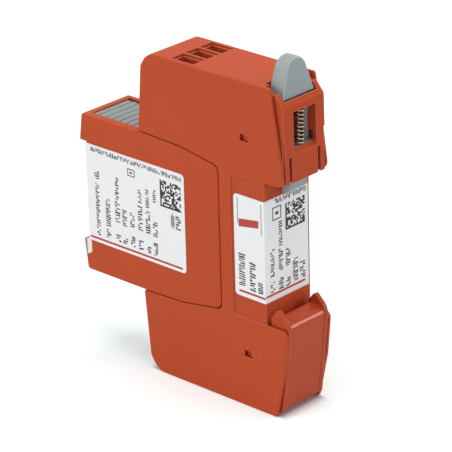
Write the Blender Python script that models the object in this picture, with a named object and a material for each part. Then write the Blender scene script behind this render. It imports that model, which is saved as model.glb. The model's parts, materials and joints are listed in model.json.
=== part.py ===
"""Pluggable two-pole surge arrester, one module wide, for a 35 mm rail.

A C-shaped base carries six screw terminals, three busbars and a sprung rail foot.
The plug-in module slides into the C from the front. X runs from the front (-) to
the rail (+), Y across the width and Z up. Values are metres, written in millimetres.
"""
import bpy
import bmesh
from math import cos, sin, pi, tau, hypot, acos, tan
from mathutils import Matrix, Vector

for leftover in list(bpy.data.objects):
    bpy.data.objects.remove(leftover, do_unlink=True)

MM = 0.001

# Driving dimensions of the base, x measured from the rail seat, rises from mid-height
BASE_HEIGHT = 90.0 * MM
BASE_WIDTH = 17.3 * MM
SHOULDER_REACH = 43.4 * MM
BLOCK_LEAN = 1.6 * MM
END_CHAMFER = 4.0 * MM
END_CHAMFER_BOW = 0.65 * MM
REAR_REACH = 7.2 * MM
REAR_KNEE_REACH = 6.0 * MM
REAR_KNEE_DROP = 13.0 * MM
REAR_END_REACH = 3.2 * MM
UPPER_REAR_REACH = 6.8 * MM
UPPER_KNEE_REACH = 5.0 * MM
UPPER_END_REACH = 2.8 * MM
SLOT_HALF_HEIGHT = 19.9 * MM
SLOT_LIP_RISE = 19.4 * MM
REAR_LIP_RADIUS = 2.0 * MM
REAR_SILL_RADIUS = 1.6 * MM
BAY_BACK = 15.3 * MM
BAY_HALF_FRONT = 22.7 * MM
BAY_HALF_MIDDLE = 22.1 * MM
BAY_MIDDLE_REACH = 28.6 * MM
BAY_HALF_REAR = 20.4 * MM
BAY_REAR_REACH = 18.0 * MM
SIDE_WALL = 0.75 * MM
END_WALL = 1.5 * MM
SLOT_WALL = 1.5 * MM
EDGE_SOFTNESS = 0.55 * MM

# General fits
GAP = 0.3 * MM
LABEL_THICKNESS = 0.15 * MM
LABEL_GLUE = 0.05 * MM
PAST = 1.0 * MM

# Terminals and busbars
POLE_PITCH = 5.3 * MM
TERMINAL_RISE = 31.0 * MM
CHANNEL_WIDTH = 4.3 * MM
WELL_FRONT = 31.6 * MM
WELL_LENGTH = 7.7 * MM
WELL_WIDTH = 4.6 * MM
WELL_RIM_DEPTH = 0.8 * MM
WELL_LEDGE = 0.22 * MM
WELL_FUNNEL_DEPTH = 3.5 * MM
THROAT_FRONT = 31.2 * MM
THROAT_WIDTH = 4.2 * MM
CHAMBER_FRONT = 39.6 * MM
CHAMBER_BACK = 25.4 * MM
CHAMBER_HEIGHT = 10.5 * MM
CAGE_HEIGHT = 6.0 * MM
CAGE_WALL = 0.6 * MM
CAGE_FRONT = 34.9 * MM
CAGE_LENGTH = 8.8 * MM
SCREW_SHANK_RADIUS = 1.3 * MM
SCREW_HEAD_RADIUS = 2.0 * MM
SCREW_HEAD_HEIGHT = 1.4 * MM
SCREW_SLOT_WIDTH = 0.8 * MM
SCREW_SLOT_DEPTH = 0.7 * MM
DRIVER_HOLE_RADIUS = 1.9 * MM
STRIP_THICKNESS = 0.8 * MM
STRIP_WIDTH = 3.6 * MM
STRIP_BEND = 1.2 * MM
BUSBAR_REACH = 7.9 * MM
BUSBAR_RUN_RISE = 25.6 * MM
TONGUE_REACH = 31.8 * MM
TONGUE_RISE = 35.0 * MM

# Plug contacts between base and module
CONTACT_RISES = {"line": 11.0 * MM, "neutral": 0.0, "earth": -11.0 * MM}
CLIP_ARM_THICKNESS = 0.4 * MM
CLIP_BACK_THICKNESS = 0.6 * MM
CLIP_HALF_HEIGHT = 2.2 * MM
CLIP_TIP_REACH = 14.2 * MM
BLADE_THICKNESS = 0.8 * MM
BLADE_HALF_HEIGHT = 1.9 * MM
BLADE_TIP_REACH = 10.2 * MM
BLADE_ROOT_REACH = 20.5 * MM
CLIP_CHAMBER_HALF_HEIGHT = 3.4 * MM

# Rear closers, rail foot and fixed hook
CLOSER_DEPTH = 5.0 * MM
SNAP_REACH = 8.6 * MM
SNAP_WINDOW_FRONT = 7.7 * MM
SNAP_WINDOW_LENGTH = 3.1 * MM
SNAP_WINDOW_HEIGHT = 2.0 * MM
SNAP_WINDOW_RISE = 29.9 * MM
SNAP_ARM_THICKNESS = 0.7 * MM
CAP_FACE_REACH = 6.2 * MM
CAP_FOOT_REACH = 6.55 * MM
CAP_TOP_RISE = 43.2 * MM
CAP_SLOPE_DROP = 2.9 * MM
CAP_SLOPE_DEPTH = 2.4 * MM
CAP_STEP_RISE = 31.6 * MM
CAP_MARGIN_DEPTH = 0.45 * MM
CAP_MARGIN_WIDTH = 0.35 * MM
FOOT_PLATE_REACH = 1.6 * MM
FOOT_PLATE_THICKNESS = 3.3 * MM
LATCH_HALF_WIDTH = 3.2 * MM
LATCH_THICKNESS = 2.6 * MM
STEM_BACK_REACH = 4.3 * MM
FOOT_PLATE_HALF_WIDTH = 5.2 * MM
FOOT_PLATE_TOP_RISE = 28.2 * MM
FOOT_TRAVEL = 2.5 * MM
LATCH_TIP_RISE = 15.2 * MM
LATCH_TIP_WIDTH = 0.5 * MM
LATCH_SLOPE_RISE = 1.6 * MM
STEM_WIDTH = 1.9 * MM
STEM_SIDE = 3.2 * MM
TAB_FOOT_RISE = 39.6 * MM
TAB_TOP_RISE = 51.35 * MM
TAB_HALF_WIDTH = 5.9 * MM
TAB_SHOULDER_RISE = 41.6 * MM
TAB_ARCH_RADIUS = 3.8 * MM
TAB_ARCH_START = 0.28
TAB_FRONT_REACH = 0.6 * MM
TAB_FRONT_LEAN = 0.45 * MM
TAB_BACK_REACH = 4.95 * MM
TAB_BACK_LEAN = 1.1 * MM
TAB_ROUNDING = 0.8 * MM
TAB_NOTCH_REACH = 0.6 * MM
WINDOW_NEAR_SIDE = -3.95 * MM
WINDOW_FAR_SIDE = 4.45 * MM
WINDOW_SILL_RISE = 28.4 * MM
WINDOW_HEIGHT = 10.0 * MM
WINDOW_SILL_DROP = 0.9 * MM
GUIDE_SLOT_SIDE = 5.35 * MM
GUIDE_SLOT_WIDTH = 1.15 * MM
GUIDE_SLOT_HEIGHT = 6.9 * MM
FOOT_SPRING_SIDE = 0.65 * MM
FOOT_SPRING_REACH = 4.0 * MM
FOOT_SPRING_DIAMETER = 3.0 * MM
FOOT_SPRING_WIRE = 0.45 * MM
FOOT_SPRING_TURNS = 8
HOOK_REACH = 1.9 * MM
HOOK_RISE = -17.6 * MM
HOOK_BACK_RISE = -19.0 * MM
HOOK_ROUNDING = 1.8 * MM
GROOVE_RISE = -19.0 * MM
CHEEK_THICKNESS = 1.1 * MM
CHEEK_TOP_RISE = -15.0 * MM
CHEEK_FRONT_REACH = 1.05 * MM
CHEEK_PROUD = 0.2 * MM
HOOK_FOOT_RISE = -44.0 * MM
HOOK_FOOT_REACH = 4.4 * MM

# Module
MODULE_WIDTH = 17.45 * MM
COLLAR_REACH = 64.35 * MM
BROW_REACH = 65.4 * MM
PANEL_REACH = 62.9 * MM
PANEL_TOP_RISE = 14.65 * MM
PANEL_BOTTOM_RISE = -13.6 * MM
MODULE_WALL = 1.3 * MM
COVER_THICKNESS = 1.35 * MM
MODULE_CORNER = 2.0 * MM
CAVITY_HALF_HEIGHT = 18.9 * MM
COLLAR_CAVITY_HALF_HEIGHT = 9.0 * MM
COLLAR_CAVITY_REACH = 60.5 * MM
BUTTON_FRONT = 61.9 * MM
BUTTON_HALF_WIDTH = 6.3 * MM
BUTTON_THICKNESS = 2.1 * MM
BUTTON_SINK = 0.3 * MM
BUTTON_TRAVEL = 1.0 * MM
BUTTON_TONGUE_REACH = 42.1 * MM
RIB_PITCH = 2.45 * MM
RIB_GROOVE_WIDTH = 0.55 * MM
RIB_GROOVE_DEPTH = 0.35 * MM
RIB_GROOVES = 7
BUTTON_SPRING_REACH = 53.0 * MM
BUTTON_SPRING_DIAMETER = 4.2 * MM
BUTTON_SPRING_WIRE = 0.5 * MM
BUTTON_SPRING_LENGTH = 9.4 * MM
BUTTON_SPRING_TURNS = 5
LENS_HEIGHT = 4.7 * MM
LENS_BACK = 62.6 * MM
LENS_SLANT = 1.1 * MM
LENS_FAR_SIDE = 0.5 * MM
FLAG_REACH = 61.7 * MM
FLAG_THICKNESS = 0.8 * MM
FLAG_HEIGHT = 4.4 * MM
FLAG_NEAR_SIDE = -7.0 * MM
FLAG_FAR_SIDE = 0.2 * MM
SLIDER_ARM_WIDTH = 2.4 * MM
SLIDER_ARM_RISE = -1.0 * MM
SLIDER_ARM_HEIGHT = 2.0 * MM
SLIDER_TIP_REACH = 42.6 * MM
TRIP_SPRING_REACH = 52.0 * MM
TRIP_SPRING_DIAMETER = 3.4 * MM
TRIP_SPRING_WIRE = 0.45 * MM
TRIP_SPRING_TURNS = 4
BOARD_THICKNESS = 1.6 * MM
VARISTOR_RADIUS = 9.8 * MM
VARISTOR_THICKNESS = 4.7 * MM
VARISTOR_REACH = 31.2 * MM
VARISTOR_RISE = 8.6 * MM
TUBE_RADIUS = 2.8 * MM
TUBE_LENGTH = 8.0 * MM
TUBE_REACH = 31.0 * MM
TUBE_RISE = -11.0 * MM

# Labels
MODULE_LABEL_BACK = 27.4 * MM
MODULE_LABEL_TOP = 14.4 * MM
MODULE_LABEL_BOTTOM = -13.35 * MM
BASE_LABEL_FRONT = 10.4 * MM
BASE_LABEL_TOP = 14.1 * MM
BASE_LABEL_BOTTOM = -13.9 * MM
SIDE_RECESS_FRONT = 11.2 * MM
SIDE_RECESS_DEPTH = 0.35 * MM
LABEL_CORNER = 1.0 * MM

# Sizes that follow from the ones above
MIDDLE = BASE_HEIGHT / 2
HALF_WIDTH = BASE_WIDTH / 2
MODULE_NEAR = -HALF_WIDTH
MODULE_FAR = MODULE_NEAR + MODULE_WIDTH
SEAT_X = (BROW_REACH - REAR_REACH) / 2
INNER_HALF = HALF_WIDTH - SIDE_WALL
CLOSER_HALF = INNER_HALF - GAP
POLES = {"line": -POLE_PITCH, "neutral": 0.0, "earth": POLE_PITCH}
BLOCKS = {"top": 1, "bottom": -1}
CHANNEL_FLOOR_RISE = BUSBAR_RUN_RISE - STRIP_THICKNESS / 2 - GAP


def rise(value):
    """Height above the ground of a rise measured from mid-height."""
    return MIDDLE + value


def rounded(corners, steps=3):
    """Outline points from (a, b, radius) corners, with each radius drawn as an arc."""
    points = []
    for index, (a, b, radius) in enumerate(corners):
        here = Vector((a, b))
        if radius <= 0:
            points.append(here)
            continue
        before = (Vector(corners[index - 1][:2]) - here).normalized()
        after = (Vector(corners[(index + 1) % len(corners)][:2]) - here).normalized()
        half_angle = acos(max(-1.0, min(1.0, before.dot(after)))) / 2
        if half_angle > 0.495 * pi:
            points.append(here)
            continue
        reach = radius / tan(half_angle)
        centre = here + (before + after).normalized() * hypot(radius, reach)
        start = here + before * reach - centre
        end = here + after * reach - centre
        sweep = start.angle_signed(end)
        for step in range(steps + 1):
            points.append(centre + Matrix.Rotation(-sweep * step / steps, 2) @ start)
    return points


def prism(outline, low, high, axis):
    """Closed solid of an outline swept along one axis; the outline uses the other two in order."""
    order = {"X": (2, 0, 1), "Y": (0, 2, 1), "Z": (0, 1, 2)}[axis]
    solid = bmesh.new()
    rings = []
    for level in (low, high):
        ring = []
        for point in outline:
            values = (point[0], point[1], level)
            ring.append(solid.verts.new([values[position] for position in order]))
        rings.append(ring)
    solid.faces.new(rings[0])
    solid.faces.new(reversed(rings[1]))
    for index, start in enumerate(rings[0]):
        following = (index + 1) % len(outline)
        solid.faces.new((start, rings[1][index], rings[1][following], rings[0][following]))
    bmesh.ops.recalc_face_normals(solid, faces=solid.faces)
    return solid


def rectangle(a_low, a_high, b_low, b_high, radius=0.0):
    """Corner list of a rectangle for rounded()."""
    return rounded([(a_low, b_low, radius), (a_high, b_low, radius), (a_high, b_high, radius),
                    (a_low, b_high, radius)])


def block(x_low, x_high, y_low, y_high, z_low, z_high):
    """Rectangular solid between two corners."""
    return prism(rectangle(x_low, x_high, y_low, y_high), min(z_low, z_high), max(z_low, z_high), "Z")


def disc(radius, sides=24):
    """Circle points about the origin."""
    return [Vector((radius * cos(tau * step / sides), radius * sin(tau * step / sides))) for step in range(sides)]


def rod(axis, centre, radius, low, high, sides=24):
    """Round bar along an axis, its centre given in the two other axes."""
    outline = [point + Vector(centre) for point in disc(radius, sides)]
    return prism(outline, low, high, axis)


def frustum(lower, upper, z_low, z_high):
    """Solid between two rectangles (x_low, x_high, y_low, y_high) at two heights."""
    solid = bmesh.new()
    rings = []
    for sizes, height in ((lower, z_low), (upper, z_high)):
        corners = rectangle(*sizes)
        rings.append([solid.verts.new((corner.x, corner.y, height)) for corner in corners])
    solid.faces.new(rings[0])
    solid.faces.new(reversed(rings[1]))
    for index in range(4):
        following = (index + 1) % 4
        solid.faces.new((rings[0][index], rings[1][index], rings[1][following], rings[0][following]))
    bmesh.ops.recalc_face_normals(solid, faces=solid.faces)
    return solid


def soften(solid, chosen, width, segments=2):
    """Bevel the edges of a solid for which chosen(edge) is true."""
    edges = [edge for edge in solid.edges if chosen(edge)]
    bmesh.ops.bevel(solid, geom=edges, offset=width, segments=segments, profile=0.5,
                    affect="EDGES", clamp_overlap=True)
    return solid


def on_side(half_width):
    """Chooser of the edges that lie in the two side planes of a solid swept along Y."""
    def chosen(edge):
        return all(abs(abs(vertex.co.y) - half_width) < 1e-6 for vertex in edge.verts) and (
            edge.verts[0].co.y * edge.verts[1].co.y > 0)
    return chosen


def thicken(path, thickness, bend):
    """Outline of a strip of constant thickness along a bent path."""
    inner = []
    outer = []
    ends = len(path) - 1
    centre_line = []
    for index, (a, b) in enumerate(path):
        if index in (0, ends):
            centre_line.append(Vector((a, b)))
            continue
        here = Vector((a, b))
        before = (Vector(path[index - 1]) - here).normalized()
        after = (Vector(path[index + 1]) - here).normalized()
        centre = here + (before + after) * bend
        for step in range(4):
            turn = pi / 2 * step / 3
            centre_line.append(centre - after * bend * cos(turn) - before * bend * sin(turn))
    for index, here in enumerate(centre_line):
        back = centre_line[max(index - 1, 0)]
        ahead = centre_line[min(index + 1, len(centre_line) - 1)]
        along = (ahead - back).normalized()
        across = Vector((-along.y, along.x)) * thickness / 2
        inner.append(here + across)
        outer.append(here - across)
    return inner + outer[::-1]


def coil(centre, diameter, wire, length, turns, sides=6, steps=12):
    """Closed compression spring along +Z from centre, with a closed turn at each end."""
    solid = bmesh.new()
    radius = (diameter - wire) / 2
    climb = length - wire
    total = int(steps * (turns + 1.5))
    rings = []
    for step in range(total + 1):
        turned = step / steps
        share = min(max((turned - 0.5) / (turns + 0.5), 0.0), 1.0)
        height = wire / 2 + climb * share
        middle = Vector((radius * cos(tau * turned), radius * sin(tau * turned), height))
        outward = Vector((cos(tau * turned), sin(tau * turned), 0))
        ring = []
        for side in range(sides):
            around = tau * side / sides
            offset = outward * cos(around) * wire / 2 + Vector((0, 0, sin(around) * wire / 2))
            ring.append(solid.verts.new(Vector(centre) + middle + offset))
        rings.append(ring)
    for low, high in zip(rings, rings[1:]):
        for side in range(sides):
            following = (side + 1) % sides
            solid.faces.new((low[side], low[following], high[following], high[side]))
    solid.faces.new(rings[0])
    solid.faces.new(rings[-1])
    bmesh.ops.recalc_face_normals(solid, faces=solid.faces)
    return solid


def finish(name, colour, roughness, metallic=0.0, alpha=1.0):
    """Principled material of one finish."""
    material = bpy.data.materials.new(name)
    material.use_nodes = True
    shader = material.node_tree.nodes["Principled BSDF"]
    shader.inputs["Base Color"].default_value = (*colour, 1.0)
    shader.inputs["Roughness"].default_value = roughness
    shader.inputs["Metallic"].default_value = metallic
    shader.inputs["Alpha"].default_value = alpha
    return material


RED_PLASTIC = finish("red_polyamide", (0.48, 0.085, 0.037), 0.5)
GREY_PLASTIC = finish("grey_polyamide", (0.28, 0.31, 0.32), 0.5)
LENS_PLASTIC = finish("clear_polycarbonate", (0.72, 0.74, 0.68), 0.25, alpha=0.6)
FLAG_PLASTIC = finish("green_plastic", (0.05, 0.4, 0.1), 0.5)
STEEL = finish("zinc_plated_steel", (0.62, 0.62, 0.6), 0.3, 1.0)
SPRING_STEEL = finish("spring_steel", (0.5, 0.47, 0.42), 0.3, 1.0)
COPPER = finish("tinned_copper", (0.72, 0.6, 0.48), 0.3, 1.0)
BRONZE = finish("contact_bronze", (0.7, 0.48, 0.25), 0.3, 1.0)
PAPER = finish("printed_label", (0.85, 0.86, 0.88), 0.55)
EPOXY = finish("blue_epoxy", (0.05, 0.12, 0.35), 0.45)
CERAMIC = finish("white_ceramic", (0.8, 0.78, 0.72), 0.4)
LAMINATE = finish("green_laminate", (0.03, 0.16, 0.07), 0.5)

rail_seat = bpy.data.objects.new("rail_seat", None)
rail_seat.location = (SEAT_X, 0, 0)
bpy.context.collection.objects.link(rail_seat)


def add_piece(name, solid, material, origin=(0, 0, 0)):
    """Named object from a solid drawn in the rail frame, with its own origin."""
    bmesh.ops.translate(solid, verts=solid.verts, vec=-Vector(origin))
    mesh = bpy.data.meshes.new(name)
    solid.to_mesh(mesh)
    solid.free()
    mesh.materials.append(material)
    piece = bpy.data.objects.new(name, mesh)
    bpy.context.collection.objects.link(piece)
    piece.parent = rail_seat
    piece.location = origin
    return piece


def combine(piece, solids, operation):
    """Cut solids out of a piece, or join them to it, one after another."""
    shift = -Vector(piece.location)
    for solid in solids:
        bmesh.ops.translate(solid, verts=solid.verts, vec=shift)
        mesh = bpy.data.meshes.new("tool")
        solid.to_mesh(mesh)
        solid.free()
        tool = bpy.data.objects.new("tool", mesh)
        tool.parent = rail_seat
        tool.location = piece.location
        bpy.context.collection.objects.link(tool)
        change = piece.modifiers.new("change", "BOOLEAN")
        change.operation = operation
        change.solver = "EXACT"
        change.object = tool
        graph = bpy.context.evaluated_depsgraph_get()
        result = bpy.data.meshes.new_from_object(piece.evaluated_get(graph))
        piece.modifiers.clear()
        former = piece.data
        piece.data = result
        result.name = piece.name
        bpy.data.meshes.remove(former)
        bpy.data.objects.remove(tool, do_unlink=True)
        bpy.data.meshes.remove(mesh)
    return piece


def cut(piece, *solids):
    return combine(piece, solids, "DIFFERENCE")


def join(piece, *solids):
    return combine(piece, solids, "UNION")


def mirrored(corners):
    """Outline corners of the upper half followed by their mirror image below mid-height."""
    lower = [(a, -b, radius) for a, b, radius in reversed(corners)]
    return [(a, rise(b), radius) for a, b, radius in corners + lower]


def span(side, low, high):
    """Heights of a stretch given by its rises in the upper block, for either block."""
    return sorted((rise(side * low), rise(side * high)))


# Base housing: one moulding with bay, wells, chambers and channels
def housing_outline():
    half = BASE_HEIGHT / 2
    knee = half - REAR_KNEE_DROP
    shoulder = -SHOULDER_REACH
    lean = shoulder + BLOCK_LEAN
    upper_rear = [
        (0, rise(SLOT_LIP_RISE), 0.3 * MM),
        (UPPER_REAR_REACH, rise(SLOT_LIP_RISE), REAR_LIP_RADIUS),
        (UPPER_KNEE_REACH, rise(knee), 0),
        (UPPER_END_REACH, rise(half), 0.8 * MM),
    ]
    lower_rear = [
        (REAR_END_REACH, rise(-half), 0.8 * MM),
        (REAR_KNEE_REACH, rise(-knee), 0),
        (REAR_REACH, rise(-SLOT_HALF_HEIGHT), REAR_SILL_RADIUS),
        (0, rise(-SLOT_HALF_HEIGHT), 0.3 * MM),
    ]
    bow = END_CHAMFER / 2 - END_CHAMFER_BOW * 0.707
    corners = [
        (lean + END_CHAMFER, half, 2.0 * MM),
        (lean + bow, half - bow, 4.0 * MM),
        (lean, half - END_CHAMFER, 1.6 * MM),
        (shoulder, BAY_HALF_FRONT, 0.3 * MM),
        (-BAY_MIDDLE_REACH, BAY_HALF_MIDDLE, 0),
        (-BAY_REAR_REACH, BAY_HALF_REAR, 0),
        (-BAY_BACK, BAY_HALF_REAR - 0.3 * MM, MODULE_CORNER),
    ]
    return rounded(upper_rear + mirrored(corners) + lower_rear)


def terminal_cuts(side, pole):
    """Funnel, throat, chamber, channel and driver hole of one terminal."""
    half_channel = CHANNEL_WIDTH / 2
    chamber_low, chamber_high = span(side, CHANNEL_FLOOR_RISE, CHANNEL_FLOOR_RISE + CHAMBER_HEIGHT)
    mouth = (-WELL_FRONT, WELL_LENGTH - WELL_FRONT, pole - WELL_WIDTH / 2, pole + WELL_WIDTH / 2)
    throat = (-THROAT_FRONT, -CHAMBER_BACK, pole - THROAT_WIDTH / 2, pole + THROAT_WIDTH / 2)
    face = rise(side * BASE_HEIGHT / 2)
    funnel_end = face - side * WELL_FUNNEL_DEPTH
    ledge_height = face - side * WELL_RIM_DEPTH
    ledge = (mouth[0] + WELL_LEDGE, mouth[1] - WELL_LEDGE, mouth[2] + WELL_LEDGE, mouth[3] - WELL_LEDGE)
    spread = 0.02 * MM
    if side > 0:
        funnel = frustum(throat, ledge, funnel_end, ledge_height + spread)
    else:
        funnel = frustum(ledge, throat, ledge_height - spread, funnel_end)
    chamber_mid = (chamber_low + chamber_high) / 2
    axis_height = rise(side * TERMINAL_RISE)
    head_room = SCREW_HEAD_RADIUS + GAP
    head_seat = -(CHAMBER_FRONT + SCREW_HEAD_HEIGHT + 2 * GAP)
    return [
        block(*mouth, ledge_height, face + side * PAST),
        funnel,
        block(throat[0], throat[1], throat[2], throat[3], funnel_end + side * spread, chamber_mid),
        block(-CHAMBER_FRONT, -CHAMBER_BACK, pole - half_channel, pole + half_channel, chamber_low, chamber_high),
        block(-CHAMBER_BACK - PAST, -BUSBAR_REACH + STRIP_THICKNESS / 2 + GAP, pole - half_channel,
              pole + half_channel, *span(side, CHANNEL_FLOOR_RISE, CHANNEL_FLOOR_RISE + STRIP_THICKNESS + 2 * GAP)),
        rod("X", (pole, axis_height), head_room, head_seat, -CHAMBER_FRONT + PAST / 2),
        rod("X", (pole, axis_height), DRIVER_HOLE_RADIUS, -SHOULDER_REACH - PAST, head_seat + PAST / 2),
    ]


def contact_cuts(pole, height):
    """Busbar shaft, clip chamber and blade slot of one pole in the web."""
    half_channel = CHANNEL_WIDTH / 2
    shaft_half = CHANNEL_FLOOR_RISE + STRIP_THICKNESS
    shaft_front = -(BUSBAR_REACH + STRIP_THICKNESS / 2 + GAP)
    shaft_back = -(BUSBAR_REACH - STRIP_THICKNESS / 2 - GAP)
    slot_half = BLADE_THICKNESS / 2 + GAP
    return [
        block(shaft_front, shaft_back, pole - half_channel, pole + half_channel,
              rise(-shaft_half), rise(shaft_half)),
        block(-CLIP_TIP_REACH - GAP, shaft_front + PAST / 2, pole - half_channel, pole + half_channel,
              height - CLIP_CHAMBER_HALF_HEIGHT, height + CLIP_CHAMBER_HALF_HEIGHT),
        block(-BAY_BACK - PAST, -CLIP_TIP_REACH, pole - slot_half, pole + slot_half,
              height - BLADE_HALF_HEIGHT - GAP, height + BLADE_HALF_HEIGHT + GAP),
    ]


def closer_cuts(side):
    """Rear room of one block with its snap pockets and snap windows."""
    room_low = SLOT_HALF_HEIGHT + SLOT_WALL
    room_high = BASE_HEIGHT / 2 - END_WALL
    past_rear = REAR_REACH + PAST
    pocket_half = SNAP_WINDOW_HEIGHT / 2 + 1.1 * MM
    cuts = [
        block(-CLOSER_DEPTH, past_rear, -INNER_HALF, INNER_HALF, *span(side, room_low, room_high)),
        block(0, past_rear, -INNER_HALF, INNER_HALF, *span(side, SLOT_HALF_HEIGHT - PAST, room_low + PAST)),
    ]
    for hand in (-1, 1):
        y_values = sorted((hand * (INNER_HALF - SNAP_ARM_THICKNESS - 2 * GAP), hand * INNER_HALF))
        cuts.append(block(-SNAP_REACH, -CLOSER_DEPTH + PAST, *y_values,
                          *span(side, SNAP_WINDOW_RISE - pocket_half, SNAP_WINDOW_RISE + pocket_half)))
        y_values = sorted((hand * (INNER_HALF - PAST / 2), hand * (HALF_WIDTH + PAST)))
        window_half = SNAP_WINDOW_HEIGHT / 2
        cuts.append(block(-SNAP_WINDOW_FRONT, -SNAP_WINDOW_FRONT + SNAP_WINDOW_LENGTH, *y_values,
                          *span(side, SNAP_WINDOW_RISE - window_half, SNAP_WINDOW_RISE + window_half)))
    return cuts


def build_housing():
    body = prism(housing_outline(), -HALF_WIDTH, HALF_WIDTH, "Y")
    soften(body, on_side(HALF_WIDTH), EDGE_SOFTNESS)
    housing = add_piece("base_housing", body, RED_PLASTIC)
    tab_room = TAB_HALF_WIDTH + GAP
    past_rear = REAR_REACH + PAST
    half = BASE_HEIGHT / 2
    for side in BLOCKS.values():
        cut(housing, *closer_cuts(side))
        for pole in POLES.values():
            cut(housing, *terminal_cuts(side, pole))
    for name, pole in POLES.items():
        cut(housing, *contact_cuts(pole, rise(CONTACT_RISES[name])))
    cut(housing,
        block(-TAB_FRONT_REACH - GAP, past_rear, -tab_room, tab_room, rise(half - 2 * END_WALL), rise(half + PAST)),
        block(TAB_NOTCH_REACH, past_rear, -INNER_HALF, INNER_HALF, rise(half - 2 * END_WALL), rise(half + PAST)))
    cut(housing, block(-TAB_FRONT_REACH - GAP, past_rear, -INNER_HALF, INNER_HALF, rise(-half - PAST),
                       rise(-half + 2 * END_WALL)))
    recess = rounded([(-SIDE_RECESS_FRONT, rise(-SLOT_HALF_HEIGHT), 1.5 * MM), (PAST, rise(-SLOT_HALF_HEIGHT), 0),
                      (PAST, rise(SLOT_HALF_HEIGHT - 0.5 * MM), 0),
                      (-SIDE_RECESS_FRONT, rise(SLOT_HALF_HEIGHT - 0.5 * MM), 1.5 * MM)])
    cut(housing, prism(recess, -HALF_WIDTH - PAST, -HALF_WIDTH + SIDE_RECESS_DEPTH, "Y"))
    label_depth = LABEL_THICKNESS + LABEL_GLUE
    cut(housing, block(-label_depth, PAST, -HALF_WIDTH - PAST, HALF_WIDTH - 0.3 * MM,
                       rise(BASE_LABEL_BOTTOM) - LABEL_THICKNESS, rise(BASE_LABEL_TOP) + LABEL_THICKNESS))
    return housing


# Rear closers: foot guide at the top, fixed rail hook at the bottom
def snap_arms(side):
    """Two arms with wedge noses that click into the side windows."""
    solids = []
    arm_half = SNAP_WINDOW_HEIGHT / 2 + 0.6 * MM
    nose_half = SNAP_WINDOW_HEIGHT / 2 - GAP
    nose_back = -SNAP_WINDOW_FRONT + SNAP_WINDOW_LENGTH - GAP
    for hand in (-1, 1):
        outer = CLOSER_HALF
        inner = outer - SNAP_ARM_THICKNESS
        tip = HALF_WIDTH - 0.35 * MM
        solids.append(block(-SNAP_REACH + GAP, -CLOSER_DEPTH + PAST, *sorted((hand * inner, hand * outer)),
                            *span(side, SNAP_WINDOW_RISE - arm_half, SNAP_WINDOW_RISE + arm_half)))
        wedge = [(-SNAP_WINDOW_FRONT + GAP, hand * (outer - GAP)), (nose_back, hand * (outer - GAP)),
                 (nose_back, hand * tip), (nose_back - 0.6 * MM, hand * tip),
                 (-SNAP_WINDOW_FRONT + GAP, hand * outer)]
        solids.append(prism(wedge, *span(side, SNAP_WINDOW_RISE - nose_half, SNAP_WINDOW_RISE + nose_half), "Z"))
    return solids


def build_foot_guide():
    room_low = SLOT_HALF_HEIGHT + SLOT_WALL + GAP
    profile = [(-CLOSER_DEPTH + GAP, rise(room_low)), (GAP, rise(room_low)), (GAP, rise(SLOT_HALF_HEIGHT)),
               (CAP_FOOT_REACH, rise(SLOT_HALF_HEIGHT)), (CAP_FACE_REACH, rise(CAP_TOP_RISE - CAP_SLOPE_DROP)),
               (CAP_FACE_REACH - CAP_SLOPE_DEPTH, rise(CAP_TOP_RISE)), (-CLOSER_DEPTH + GAP, rise(CAP_TOP_RISE))]
    guide = add_piece("foot_guide_cap", prism(profile, -CLOSER_HALF, CLOSER_HALF, "Y"), RED_PLASTIC)
    join(guide, *snap_arms(BLOCKS["top"]))
    margin_x = CAP_FACE_REACH - CAP_MARGIN_DEPTH
    past_rear = CAP_FOOT_REACH + PAST
    for hand in (-1, 1):
        margin = sorted((hand * (CLOSER_HALF - CAP_MARGIN_WIDTH), hand * (CLOSER_HALF + PAST)))
        cut(guide, block(margin_x, past_rear, *margin, rise(SLOT_HALF_HEIGHT) - PAST, rise(CAP_STEP_RISE)))
    channel_front = FOOT_PLATE_REACH - GAP
    channel_back = FOOT_PLATE_REACH + FOOT_PLATE_THICKNESS + GAP
    channel_half = FOOT_PLATE_HALF_WIDTH + GAP
    plate_room = rise(FOOT_PLATE_TOP_RISE + FOOT_TRAVEL + GAP)
    chamber_top = rise(WINDOW_SILL_RISE + WINDOW_HEIGHT)
    stem_low = STEM_SIDE - STEM_WIDTH / 2 - GAP
    stem_high = STEM_SIDE + STEM_WIDTH / 2 + GAP
    cut(guide,
        block(channel_front, channel_back, -channel_half, channel_half, rise(SLOT_HALF_HEIGHT) - PAST, plate_room),
        block(channel_front, past_rear, WINDOW_NEAR_SIDE, WINDOW_FAR_SIDE, rise(WINDOW_SILL_RISE), chamber_top),
        block(channel_front, STEM_BACK_REACH + GAP, stem_low, stem_high, chamber_top - PAST, rise(TAB_FOOT_RISE)),
        block(-TAB_FRONT_REACH - 2 * GAP, TAB_BACK_REACH + GAP, -TAB_HALF_WIDTH - GAP, TAB_HALF_WIDTH + GAP,
              rise(TAB_FOOT_RISE) - GAP, rise(CAP_TOP_RISE) + PAST))
    sill = rise(WINDOW_SILL_RISE)
    fall = WINDOW_SILL_DROP * (past_rear - channel_back) / (CAP_FACE_REACH - channel_back)
    cut(guide, prism([(channel_back, sill), (past_rear, sill - fall), (past_rear, sill + PAST), (channel_back, sill + PAST)],
                     WINDOW_NEAR_SIDE, WINDOW_FAR_SIDE, "Y"))
    for hand in (-1, 1):
        slot = (hand * GUIDE_SLOT_SIDE - GUIDE_SLOT_WIDTH / 2, hand * GUIDE_SLOT_SIDE + GUIDE_SLOT_WIDTH / 2)
        cut(guide, block(channel_back - PAST / 2, past_rear, *slot, rise(SLOT_HALF_HEIGHT) - PAST,
                         rise(SLOT_HALF_HEIGHT + GUIDE_SLOT_HEIGHT)))
    return guide


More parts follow.
